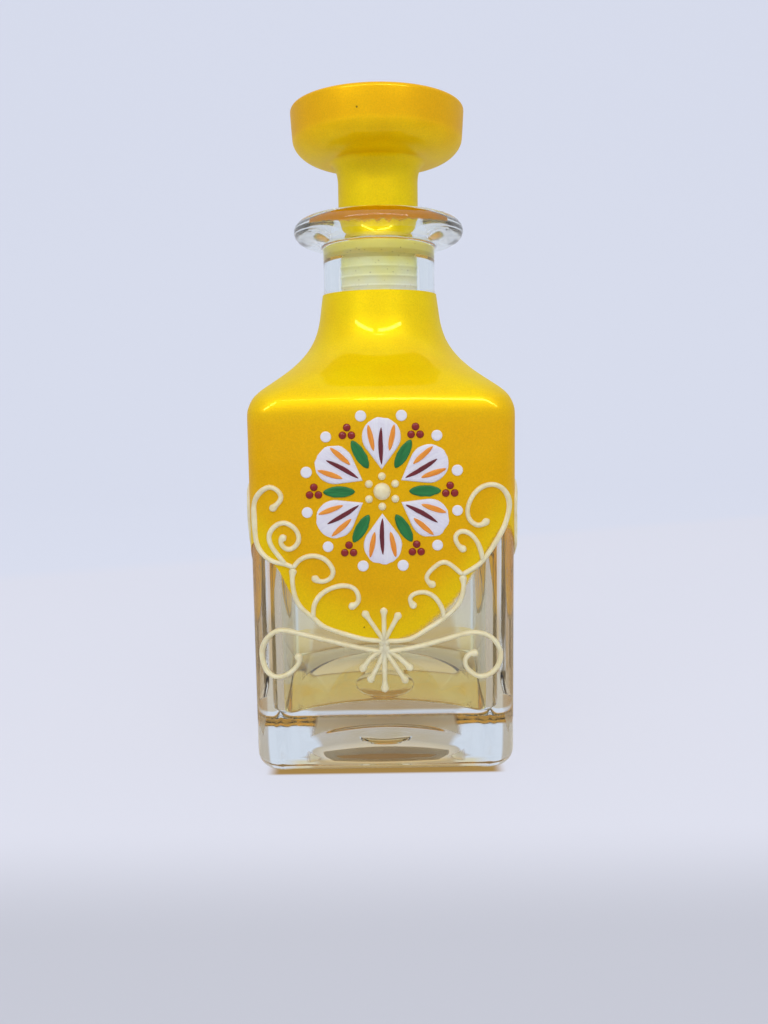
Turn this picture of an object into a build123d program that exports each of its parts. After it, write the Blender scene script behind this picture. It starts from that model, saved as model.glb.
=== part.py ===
"""A square glass decanter with a disc stopper.

The bottle is one thick clear glass moulding: a square body with rounded corners, a
shoulder that sweeps into a round neck, a rolled lip, a domed floor and a punt under the
base. Gold lacquer coats the shoulder and the upper walls and ends in a hanging curve on
each face. Cream relief scrolls are piped along that curve on all four faces. The front
also carries two long base scrolls, a fan of short strokes and a painted rosette. The
stopper is a solid glass disc on a shank, coated in the same lacquer, with a soft ribbed
sleeve that seals it in the neck.

Millimetres, +Z up, origin on the resting plane under the middle of the base. The painted
rosette faces -Y.
"""
from build123d import *
import math
import os

# Glass body
body_width = 66.0
body_corner_radius = 6.5
straight_wall_top = 89.5
shoulder_rise = 34.0
wall_thickness = 5.0
cavity_corner_radius = 5.5
cavity_top_drop = 2.0
heel_radius = 4.6

# Floor and punt
floor_corner_height = 14.5
floor_dome_rise = 7.0
base_ring_width = 6.4
punt_height = 1.9
mould_mark_radius = 7.2
mould_mark_depth = 0.4

# Neck, mouth and lip
neck_bore_radius = 10.5
neck_length = 11.5
mouth_step = 1.7
mouth_depth = 9.5
mouth_rim_radius = 1.8
mouth_wall = 2.85
lip_overhang = 7.75
lip_thickness = 7.6
lip_crown_depth = 5.6
lip_root_radius = 1.2

# Stopper
head_radius = 22.8
head_side_taper = 0.4
head_side_height = 7.6
head_underside_drop = 5.9
head_top_edge_radius = 1.0
shank_mouth_gap = 1.7
shank_clear_length = 14.4
shank_flare_reach = 2.6
shank_flare_height = 5.5
plug_length = 20.0
plug_end_radius = 1.5

# Sleeve on the plug
sleeve_wall = 1.35
sleeve_length = 18.5
sleeve_flange_depth = 5.6
rib_count = 4
rib_height = 1.0
rib_depth = 0.22
sleeve_running_gap = 0.05
sleeve_seat_gap = 0.1
rib_bore_gap = 0.08
flange_mouth_gap = 0.1

# Lacquer coats
coat_thickness = 0.2
coat_neck_drop = 1.3
swag_drop = 54.9

# Piped relief
bead_width = 1.25
bead_height = 0.9
bead_end_radius = 1.0
side_motif_share = 0.89

# Painted rosette
rosette_drop = 17.5
petal_count = 6
petal_root_distance = 5.4
petal_length = 12.6
petal_tip_radius = 4.7
petal_thickness = 0.35
stroke_thickness = 0.15
vein_length = 9.0
vein_width = 1.1
blush_length = 6.4
blush_width = 1.3
blush_turn = 11.0
leaf_length = 7.8
leaf_width = 2.8
berries_in_cluster = 3
berry_radius = 0.95
berry_height = 0.6
berry_ring_distance = 16.6
berry_cluster_radius = 1.25
dot_ring_distance = 19.0
dot_radius = 1.35
dot_thickness = 0.3
centre_dab_radius = 2.1
centre_dab_height = 1.5
centre_bead_radius = 0.95
centre_bead_height = 0.8
centre_ring_radius = 3.7

cut_overrun = 5.0

half = body_width / 2
coat_outside = half + coat_thickness
relief_outside = coat_outside + bead_height
punt_radius = half - heel_radius - base_ring_width
mouth_radius = neck_bore_radius + mouth_step
neck_radius = mouth_radius + mouth_wall
lip_radius = neck_radius + lip_overhang
neck_base = straight_wall_top + shoulder_rise
lip_bottom = neck_base + neck_length
lip_top = lip_bottom + lip_thickness
seat_top = lip_top - mouth_depth
seat_bottom = seat_top - mouth_step
rib_outside = neck_bore_radius - rib_bore_gap
sleeve_outside = rib_outside - rib_depth
sleeve_inside = sleeve_outside - sleeve_wall
plug_radius = sleeve_inside - sleeve_running_gap
shank_radius = mouth_radius - shank_mouth_gap
flange_top = lip_top - sleeve_flange_depth
shank_bottom = flange_top + sleeve_seat_gap
head_bottom = lip_top + shank_clear_length
rosette_height = straight_wall_top - rosette_drop
swag_low_height = straight_wall_top - swag_drop
coat_top = neck_base - coat_neck_drop

# Shoulder sections: height share, half-width share and roundness share, from wall to neck
shoulder_shares = [
    (0.0, 1.0, 0.0),
    (0.06, 0.994, 0.0),
    (0.12, 0.966, 0.02),
    (0.165, 0.928, 0.05),
    (0.212, 0.86, 0.11),
    (0.265, 0.75, 0.2),
    (0.324, 0.622, 0.33),
    (0.388, 0.486, 0.5),
    (0.456, 0.355, 0.68),
    (0.53, 0.24, 0.84),
    (0.62, 0.143, 0.95),
    (0.735, 0.074, 1.0),
    (0.88, 0.032, 1.0),
    (1.0, 0.0, 1.0),
]
side_bow_degrees = 22.0

# Lower edge of the lacquer from the middle of a face to its corner, and every piped stroke:
# across and up from the lowest point of the swag, as shares of half the body width
coat_edge_shares = [(0, 0), (0.3, 0.06), (0.49, 0.19), (0.62, 0.35), (0.77, 0.59), (0.9, 0.75), (1, 0.81)]
swag_shares = [
    [(0, 0), (-0.14, 0.015), (-0.3, 0.06), (-0.455, 0.12), (-0.53, 0.19), (-0.61, 0.255), (-0.66, 0.34),
     (-0.68, 0.47), (-0.67, 0.57)],
    [(0, 0), (0.185, 0.01), (0.345, 0.1), (0.45, 0.17), (0.56, 0.275), (0.6, 0.4), (0.59, 0.5)],
]
scroll_shares = [
    [(-0.67, 0.57), (-0.73, 0.6), (-0.81, 0.615), (-0.89, 0.67), (-0.94, 0.76), (-0.95, 0.92),
     (-0.94, 1.08), (-0.83, 1.18), (-0.74, 1.1), (-0.83, 1.0)],
    [(-0.73, 0.6), (-0.83, 0.74), (-0.84, 0.83), (-0.785, 0.895), (-0.72, 0.91), (-0.645, 0.86),
     (-0.62, 0.785), (-0.65, 0.73), (-0.7, 0.705), (-0.75, 0.735), (-0.76, 0.785), (-0.715, 0.81)],
    [(-0.67, 0.57), (-0.62, 0.63), (-0.53, 0.66), (-0.43, 0.63), (-0.37, 0.54), (-0.4, 0.48),
     (-0.475, 0.46), (-0.53, 0.505)],
    [(-0.53, 0.19), (-0.52, 0.29), (-0.45, 0.38), (-0.32, 0.43), (-0.22, 0.41), (-0.185, 0.34),
     (-0.2, 0.285), (-0.265, 0.265)],
    [(0.59, 0.5), (0.685, 0.555), (0.745, 0.605), (0.83, 0.73), (0.91, 0.88), (0.94, 1.03),
     (0.89, 1.14), (0.8, 1.175), (0.7, 1.13), (0.635, 1.02), (0.64, 0.92), (0.715, 0.865), (0.79, 0.915)],
    [(0.745, 0.605), (0.715, 0.72), (0.655, 0.805), (0.58, 0.83), (0.535, 0.785), (0.565, 0.715),
     (0.62, 0.68)],
    [(0.59, 0.5), (0.5, 0.58), (0.445, 0.6), (0.38, 0.56), (0.325, 0.5), (0.325, 0.455), (0.39, 0.415)],
    [(0.45, 0.17), (0.44, 0.24), (0.39, 0.325), (0.32, 0.37), (0.24, 0.365), (0.19, 0.32), (0.24, 0.25)],
]
base_scroll_shares = [
    [(0, -0.085), (-0.19, -0.05), (-0.4, 0.005), (-0.61, 0.06), (-0.73, 0.09), (-0.81, 0.09),
     (-0.885, 0.025), (-0.925, -0.08), (-0.905, -0.2), (-0.85, -0.26), (-0.78, -0.265), (-0.7, -0.225),
     (-0.64, -0.15), (-0.66, -0.085)],
    [(0, -0.085), (0.235, -0.05), (0.45, 0.005), (0.61, 0.05), (0.71, 0.055), (0.81, 0.015), (0.875, -0.09),
     (0.86, -0.2), (0.79, -0.27), (0.71, -0.285), (0.63, -0.23), (0.605, -0.16), (0.65, -0.1),
     (0.71, -0.11)],
]
fan_shares = [
    [(0, 0), (-0.155, 0.235)],
    [(0, 0), (0, 0.26)],
    [(0, 0), (0.12, 0.22)],
    [(0, 0), (0, -0.4)],
    [(0, -0.06), (-0.1, -0.125), (-0.18, -0.235)],
    [(0, -0.06), (-0.035, -0.16), (-0.12, -0.32)],
    [(0, -0.06), (0.06, -0.16), (0.17, -0.33)],
    [(0, -0.06), (0.1, -0.12), (0.21, -0.23)],
]


def section(half_width, corner, bow_degrees, height):
    """A rounded square whose sides bow out until it is a circle."""
    bow = math.radians(bow_degrees)
    spread = math.cos(bow) - math.sin(bow)
    side_radius = (half_width - corner * spread) / (1 - spread) if bow else 0.0
    reach = side_radius * math.sin(bow) if bow else half_width - corner
    fall = side_radius * (1 - math.cos(bow))
    corner_middle = half_width - fall - corner * math.cos(bow) + corner * math.sqrt(0.5)
    low = (half_width - fall, -reach)
    high = (half_width - fall, reach)
    side = ThreePointArc(low, (half_width, 0), high) if bow else Line(low, high)
    bend = ThreePointArc(high, (corner_middle, corner_middle), (reach, half_width - fall))
    quarters = [Pos(0, 0, height) * Rot(0, 0, 90 * quarter) for quarter in range(4)]
    return Face(Wire([turn * edge for turn in quarters for edge in (side, bend)]))


def vessel_form(half_width, corner, throat, bottom, wall_top, neck_foot, top):
    """Square body, swept shoulder and round neck as one solid."""
    corner_share = corner / half_width
    sections = []
    for height_share, width_share, round_share in shoulder_shares:
        width = throat + width_share * (half_width - throat)
        radius = width * (corner_share + round_share * (1 - corner_share))
        height = wall_top + height_share * (neck_foot - wall_top)
        sections.append(section(width, radius, round_share * side_bow_degrees, height))
    prism = extrude(section(half_width, corner, 0, bottom), wall_top - bottom, dir=(0, 0, 1))
    neck = Pos(0, 0, (neck_foot + top) / 2) * Cylinder(throat, top - neck_foot)
    return prism + loft(sections) + neck


def turned(edges):
    """A solid turned about the Z axis from edges drawn as (radius, height)."""
    return revolve(Face(Wire([Plane.XZ.location * edge for edge in edges])), Axis.Z, 360)


def lip_solid():
    """Neck above the shoulder with its rolled elliptical lip."""
    crown_middle = lip_radius - lip_crown_depth
    middle = (lip_bottom + lip_top) / 2
    crown = EllipticalCenterArc(
        (crown_middle, middle), lip_crown_depth, lip_thickness / 2, start_angle=-90, arc_size=180
    )
    return turned([
        Line((0, lip_top), (0, neck_base)),
        Line((0, neck_base), (neck_radius, neck_base)),
        Line((neck_radius, neck_base), (neck_radius, lip_bottom - lip_root_radius)),
        RadiusArc(
            (neck_radius, lip_bottom - lip_root_radius),
            (neck_radius + lip_root_radius, lip_bottom),
            lip_root_radius,
        ),
        Line((neck_radius + lip_root_radius, lip_bottom), (crown_middle, lip_bottom)),
        crown,
        Line((crown_middle, lip_top), (0, lip_top)),
    ])


def mouth_cutter():
    """Space above the neck bore: a conical seat, a straight mouth and its rounded rim."""
    rim_outside = mouth_radius + mouth_rim_radius
    rim_bottom = lip_top - mouth_rim_radius
    return turned([
        Line((0, lip_top + cut_overrun), (0, seat_bottom)),
        Line((0, seat_bottom), (neck_bore_radius, seat_bottom)),
        Line((neck_bore_radius, seat_bottom), (mouth_radius, seat_top)),
        Line((mouth_radius, seat_top), (mouth_radius, rim_bottom)),
        RadiusArc((mouth_radius, rim_bottom), (rim_outside, lip_top), mouth_rim_radius),
        Line((rim_outside, lip_top), (rim_outside, lip_top + cut_overrun)),
        Line((rim_outside, lip_top + cut_overrun), (0, lip_top + cut_overrun)),
    ])


def dome(reach, rise, crown_height):
    """A ball whose cap has this rise over this reach and tops out at this height."""
    radius = (reach**2 + rise**2) / (2 * rise)
    return Pos(0, 0, crown_height - radius) * Sphere(radius)


def bottle_outside():
    body = vessel_form(
        half, body_corner_radius, neck_radius, 0, straight_wall_top, neck_base, lip_bottom
    )
    base_edges = body.faces().sort_by(Axis.Z)[0].edges()
    return fillet(base_edges, heel_radius) + lip_solid()


def bottle_glass(outside):
    inner_half = half - wall_thickness
    cavity = vessel_form(
        inner_half, cavity_corner_radius, neck_bore_radius, floor_corner_height,
        straight_wall_top - cavity_top_drop, neck_base - cavity_top_drop, seat_bottom,
    )
    corner_reach = (inner_half - cavity_corner_radius) * math.sqrt(2) + cavity_corner_radius
    floor = dome(corner_reach, floor_dome_rise, floor_corner_height + floor_dome_rise)
    punt = dome(punt_radius, punt_height, punt_height)
    mark_top = punt_height + mould_mark_depth
    mark = Pos(0, 0, mark_top / 2) * Cylinder(mould_mark_radius, mark_top)
    return outside - (cavity - floor) - mouth_cutter() - punt - mark


def motif_point(share_across, share_up):
    """A place on a face, across and up, from shares of half the body width."""
    return (share_across * half, swag_low_height + share_up * half)


def coat_region():
    """The lacquered part of a flat face, drawn across and up."""
    right = [motif_point(*shares) for shares in coat_edge_shares]
    left = [(-across, up) for across, up in reversed(right[1:])]
    corner_height = right[-1][1]
    side = coat_outside + cut_overrun
    return Face(Wire([
        Spline(*left, *right),
        Line(right[-1], (side, corner_height)),
        Line((side, corner_height), (side, coat_top)),
        Line((side, coat_top), (-side, coat_top)),
        Line((-side, coat_top), (-side, corner_height)),
        Line((-side, corner_height), left[0]),
    ]))


def facing_prism(region, inside, outside):
    """A region drawn on the front face, standing from one depth to another."""
    return Pos(0, -inside, 0) * extrude(Plane.XZ.location * region, outside - inside)


def coat_space():
    """All places that lacquer may lie on, whatever their depth."""
    inner_edge = half - body_corner_radius
    depth = coat_outside + cut_overrun
    corner_height = motif_point(*coat_edge_shares[-1])[1]
    upper = Pos(0, 0, corner_height) * Box(
        2 * depth, 2 * depth, coat_top - corner_height, align=(Align.CENTER, Align.CENTER, Align.MIN)
    )
    hanging = facing_prism(coat_region(), inner_edge, depth)
    return upper + [Rot(0, 0, 90 * turn) * hanging for turn in range(4)]


def bottle_lacquer(outside, space):
    lift = coat_thickness / 2
    skin = vessel_form(
        coat_outside, body_corner_radius + coat_thickness, neck_radius + coat_thickness,
        swag_low_height - cut_overrun, straight_wall_top + lift, neck_base + lift, lip_bottom,
    )
    return (skin & space) - outside


def ribbon(shares, spread_share):
    """The footprint of one piped stroke, with a round start and a bulb at its end."""
    points = [motif_point(spread_share * across, up) for across, up in shares]
    line = Line(*points) if len(points) == 2 else Spline(*points)
    start = Pos(*points[0]) * Circle(bead_width / 2)
    bulb = Pos(*points[-1]) * Circle(bead_end_radius)
    return trace(line, bead_width) + start + bulb


def relief_shell(lacquered):
    """The layer around the body in which the relief stands, clear of glass and lacquer."""
    low = swag_low_height - half
    rounded = section(relief_outside, body_corner_radius + relief_outside - half, 0, low)
    layer = extrude(rounded, straight_wall_top - low, dir=(0, 0, 1))
    core = extrude(section(half, body_corner_radius, 0, low), straight_wall_top - low, dir=(0, 0, 1))
    skin = extrude(
        section(coat_outside, body_corner_radius + coat_thickness, 0, low),
        straight_wall_top - low, dir=(0, 0, 1),
    )
    return layer - core - (skin & lacquered)


def face_relief(shell, spread_share, painted, front):
    """Piped strokes of one face by name. Each later stroke stops at the earlier ones."""
    inner_edge = half - body_corner_radius
    crumb = bead_width**2
    laid = painted
    footprints = {}
    kinds = [("swags", swag_shares), ("scrolls", scroll_shares)]
    if front:
        knot = Sketch() + [ribbon(shares, spread_share) for shares in fan_shares]
        footprints["fan"] = [knot]
        laid = knot + painted
        kinds.insert(1, ("base_scrolls", base_scroll_shares))
    for name, strokes in kinds:
        footprints[name] = []
        for shares in strokes:
            stroke = ribbon(shares, spread_share) - laid
            footprints[name] += [face for face in stroke.faces() if face.area > crumb]
            laid = laid + stroke
    relief = {}
    for name, items in footprints.items():
        relief[name] = [facing_prism(item, inner_edge, relief_outside) & shell for item in items]
    return relief


def raised(outline, bottom, thickness):
    """Paint laid on the front face over a given depth of what is below."""
    depth = coat_outside + bottom
    centred = Pos(0, rosette_height) * outline
    return facing_prism(centred, depth, depth + thickness)


def around(count, outline, start_degrees=0.0):
    """Copies of an outline turned about the middle of the rosette."""
    return [Rot(0, 0, start_degrees + 360 * index / count) * outline for index in range(count)]


def petal():
    """A round-tipped drop along +X from its root."""
    middle = petal_root_distance + petal_length - petal_tip_radius
    span = middle - petal_root_distance
    lean = math.asin(petal_tip_radius / span)
    touch = (middle - petal_tip_radius * math.sin(lean), petal_tip_radius * math.cos(lean))
    under = (touch[0], -touch[1])
    root = (petal_root_distance, 0)
    tip = (middle + petal_tip_radius, 0)
    return Face(Wire([Line(root, under), ThreePointArc(under, tip, touch), Line(touch, root)]))


def blade(start, length, width):
    """A pointed oval along +X, as one brush stroke leaves it."""
    root = (start, 0)
    tip = (start + length, 0)
    middle = start + length / 2
    lower = ThreePointArc(root, (middle, -width / 2), tip)
    upper = ThreePointArc(tip, (middle, width / 2), root)
    return Face(Wire([lower, upper]))


def dab(radius, height, across, up, bottom=0.0):
    """A rounded drop of paint at a place measured from the middle of the rosette."""
    ball_radius = (radius**2 + height**2) / (2 * height)
    ball = Sphere(ball_radius)
    depth = coat_outside + bottom
    ball = Pos(across, -(depth + height - ball_radius), rosette_height + up) * ball
    keep = raised(Pos(across, up) * Circle(radius), bottom, height)
    return ball & keep


def ring_points(count, distance, start_degrees=0.0):
    """Places spread evenly on a circle about the middle of the rosette."""
    turns = [math.radians(start_degrees + 360 * index / count) for index in range(count)]
    return [(distance * math.cos(turn), distance * math.sin(turn)) for turn in turns]


def rosette_ground():
    """Footprint of all that is painted on the front."""
    return Pos(0, rosette_height) * Circle(dot_ring_distance + dot_radius)


def rosette():
    """Painted pieces on the front by name."""
    first_petal = 90.0
    between = 180.0 / petal_count
    vein = blade(petal_root_distance + petal_tip_radius / 4, vein_length, vein_width)
    blush = blade(petal_root_distance + petal_tip_radius, blush_length, blush_width)
    leaf = blade(petal_root_distance + petal_tip_radius / 4, leaf_length, leaf_width)
    petals = around(petal_count, petal(), first_petal)
    veins = around(petal_count, vein, first_petal)
    blushes = []
    for side in (-1, 1):
        blushes += around(petal_count, blush, first_petal + side * blush_turn)
    leaves = around(petal_count, leaf, first_petal + between)
    berries = []
    for across, up in ring_points(petal_count, berry_ring_distance, first_petal + between):
        for near_across, near_up in ring_points(berries_in_cluster, berry_cluster_radius, first_petal):
            berries.append(dab(berry_radius, berry_height, across + near_across, up + near_up))
    dots = []
    for across, up in ring_points(2 * petal_count, dot_ring_distance, first_petal + between / 2):
        dots.append(raised(Pos(across, up) * Circle(dot_radius), 0, dot_thickness))
    beads = [dab(centre_dab_radius, centre_dab_height, 0, 0)]
    for across, up in ring_points(petal_count, centre_ring_radius, first_petal):
        beads.append(dab(centre_bead_radius, centre_bead_height, across, up))
    return {
        "rosette_petals": [raised(item, 0, petal_thickness) for item in petals],
        "rosette_veins": [raised(item, petal_thickness, stroke_thickness) for item in veins],
        "rosette_blushes": [raised(item, petal_thickness, stroke_thickness) for item in blushes],
        "rosette_leaves": [raised(item, 0, petal_thickness) for item in leaves],
        "rosette_berries": berries,
        "rosette_dots": dots,
        "rosette_beads": beads,
    }


def stopper_outline(skin=0.0, bottom=shank_bottom):
    """Head and shank of the stopper as edges, grown outwards by a skin."""
    shank = shank_radius + skin
    flare_reach = shank_flare_reach - skin
    flare_height = shank_flare_height - skin
    underside = head_bottom - skin
    flare_bottom = underside - flare_height
    side_bottom = head_bottom + head_underside_drop
    side_top = side_bottom + head_side_height - head_top_edge_radius
    top = side_top + head_top_edge_radius + skin
    waist = head_radius - head_side_taper + skin
    rim = head_radius + skin
    rounding = head_top_edge_radius + skin
    flare_end = shank + flare_reach
    flare = EllipticalCenterArc(
        (flare_end, flare_bottom), flare_reach, flare_height, start_angle=90, arc_size=90
    )
    bowl = EllipticalCenterArc(
        (flare_end, side_bottom), waist - flare_end, side_bottom - underside, start_angle=-90, arc_size=90
    )
    return [
        Line((0, top), (0, bottom)),
        Line((0, bottom), (shank, bottom)),
        Line((shank, bottom), (shank, flare_bottom)),
        flare,
        bowl,
        Line((waist, side_bottom), (rim, side_top)),
        RadiusArc((rim, side_top), (rim - rounding, top), -rounding),
        Line((rim - rounding, top), (0, top)),
    ]


def stopper_glass():
    plug_bottom = shank_bottom - plug_length
    plug = Pos(0, 0, plug_bottom) * Cylinder(
        plug_radius, plug_length, align=(Align.CENTER, Align.CENTER, Align.MIN)
    )
    end_edge = plug.edges().sort_by(Axis.Z)[0]
    return turned(stopper_outline()) + fillet(end_edge, plug_end_radius)


def stopper_lacquer():
    return turned(stopper_outline(coat_thickness)) - turned(stopper_outline())


def stopper_sleeve():
    flange_outside = mouth_radius - flange_mouth_gap
    flange_bottom = seat_top - flange_mouth_gap + sleeve_seat_gap
    bottom = flange_top - sleeve_length
    slope_bottom = flange_bottom - (flange_outside - rib_outside)
    corners = [
        (sleeve_inside, flange_top), (sleeve_inside, bottom), (sleeve_outside, bottom),
        (sleeve_outside, slope_bottom), (rib_outside, slope_bottom), (flange_outside, flange_bottom),
        (flange_outside, flange_top),
    ]
    sleeve = turned(Polyline(*corners, close=True).edges())
    pitch = (slope_bottom - bottom) / (rib_count + 1)
    for index in range(rib_count):
        middle = bottom + (index + 1) * pitch
        low = middle - rib_height / 2
        high = middle + rib_height / 2
        rib_corners = [
            (sleeve_inside, low), (sleeve_outside, low), (rib_outside, middle), (sleeve_outside, high),
            (sleeve_inside, high),
        ]
        sleeve = sleeve + turned(Polyline(*rib_corners, close=True).edges())
    return sleeve


def save(name, solids):
    """Write the separate solids of one node."""
    pieces = []
    for item in solids:
        pieces += item.solids()
    export_step(Compound(pieces) if len(pieces) > 1 else pieces[0], f"parts/{name}.step")
    print(name, len(pieces), round(sum(piece.volume for piece in pieces), 2))


def main():
    os.makedirs("parts", exist_ok=True)
    outside = bottle_outside()
    lacquered = coat_space()
    save("bottle_glass", [bottle_glass(outside)])
    save("bottle_lacquer", [bottle_lacquer(outside, lacquered)])
    save("stopper_glass", [stopper_glass()])
    save("stopper_lacquer", [stopper_lacquer()])
    save("stopper_sleeve", [stopper_sleeve()])
    shell = relief_shell(lacquered)
    front = face_relief(shell, 1, rosette_ground(), True)
    other = face_relief(shell, side_motif_share, Sketch(), False)
    for turn, face in enumerate(("front", "right", "back", "left")):
        for name, solids in (other if turn else front).items():
            save(f"{face}_{name}", [Rot(0, 0, 90 * turn) * solid for solid in solids])
    for name, solids in rosette().items():
        save(name, solids)


main()
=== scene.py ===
"""Square glass decanter with a gold coat, piped scrolls and a painted rosette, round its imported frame."""

import math

import bmesh
import bpy
from mathutils import Euler, Matrix, Vector, noise


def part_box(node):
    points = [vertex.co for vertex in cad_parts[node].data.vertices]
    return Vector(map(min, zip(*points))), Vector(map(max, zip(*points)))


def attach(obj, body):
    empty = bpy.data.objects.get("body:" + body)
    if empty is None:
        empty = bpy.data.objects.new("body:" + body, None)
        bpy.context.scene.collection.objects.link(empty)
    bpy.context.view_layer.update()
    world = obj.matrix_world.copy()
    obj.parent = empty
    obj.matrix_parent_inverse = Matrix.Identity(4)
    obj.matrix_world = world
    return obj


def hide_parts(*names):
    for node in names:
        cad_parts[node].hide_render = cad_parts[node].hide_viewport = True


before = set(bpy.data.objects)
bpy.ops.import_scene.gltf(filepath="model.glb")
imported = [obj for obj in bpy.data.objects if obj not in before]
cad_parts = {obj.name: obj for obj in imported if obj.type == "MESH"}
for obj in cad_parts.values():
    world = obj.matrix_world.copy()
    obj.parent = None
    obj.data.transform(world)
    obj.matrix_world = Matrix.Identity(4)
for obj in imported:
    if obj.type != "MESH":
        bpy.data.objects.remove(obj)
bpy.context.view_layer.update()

bl_info = {
    "name": "Gold-coated decanter",
    "version": (1, 0, 0),
    "blender": (4, 5, 0),
    "location": "3D View > Sidebar > Decanter",
    "description": "Glass decanter with lacquer coat, piped relief, painted rosette and sealed stopper",
    "category": "Object",
}

MM = 0.001
GLASS_LOW, GLASS_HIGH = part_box("bottle_glass")
SLEEVE_LOW, FLANGE_TOP = (corner.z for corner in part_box("stopper_sleeve"))
PLUG_LOW, HEAD_TOP = (corner.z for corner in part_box("stopper_glass"))
COAT_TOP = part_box("bottle_lacquer")[1].z
FACES = {"right": 0, "back": 1, "left": 2, "front": 3}
HEAD_RING = 10 * MM
PASTE_BITE = 0.05 * MM
PAINT_FOOT = (1.0, -0.03 * MM)

# Zones of the bottle's glass: what each ramp follows, and where it starts and is full, in millimetres
GLASS_ZONES = {
    "side": (("across", 29.8, 32.2),),
    "back": (("y", 31.5, 32.5),),
    "corners": (("across", 21.5, 23.5), ("ragged", 13.5, 12.5)),
    "foot": (("z", 1.6, 0.2), ("radius", 22.1, 22.7), ("across", 21.5, 20)),
    "lip": (("z", 134.6, 135), ("across", 10, 16)),
    # Painted light: reflected gold and amber light on the cavity's floor
    "basin_light": (("z", 22.8, 22.6), ("z", 13.5, 13.7), ("across", 28.2, 27.8), ("along", 28.2, 27.8)),
    "film": (("radius", 12.8, 12.6), ("z", 137.6, 138), ("ragged", 140.5, 140.2)),
    # Painted light: amber light from the paper under the bottle, in the front heel
    "heel": (("z", 4.4, 3.6), ("y", -28.5, -29), ("across", 26, 22)),
}

# Lamps: name, azimuth, elevation, distance, width, height, power and tilt, in degrees, metres and watts
LAMPS = (
    ("Overhead lamp", 0, 87, 1.5, 2.4, 2.2, 4.8, 0),
    ("Left lamp", -33, 38, 0.75, 0.42, 0.055, 1.0, 28),
    ("Right lamp", 21.5, 40.5, 0.75, 0.5, 0.055, 1.15, -18),
    ("Edge lamp", 0, 50, 0.75, 0.24, 0.02, 0.11, 0),
)

# Shoulder sections: height share, half-width share and roundness share, from wall to neck
SHOULDER_SHARES = (
    (0.0, 1.0, 0.0), (0.06, 0.994, 0.0), (0.12, 0.966, 0.02), (0.165, 0.928, 0.05), (0.212, 0.86, 0.11),
    (0.265, 0.75, 0.2), (0.324, 0.622, 0.33), (0.388, 0.486, 0.5), (0.456, 0.355, 0.68),
    (0.53, 0.24, 0.84), (0.62, 0.143, 0.95), (0.735, 0.074, 1.0), (0.88, 0.032, 1.0), (1.0, 0.0, 1.0),
)
SIDE_BOW = math.radians(22)
FRONT_ONLY = ("base_scrolls", "fan")

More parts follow.
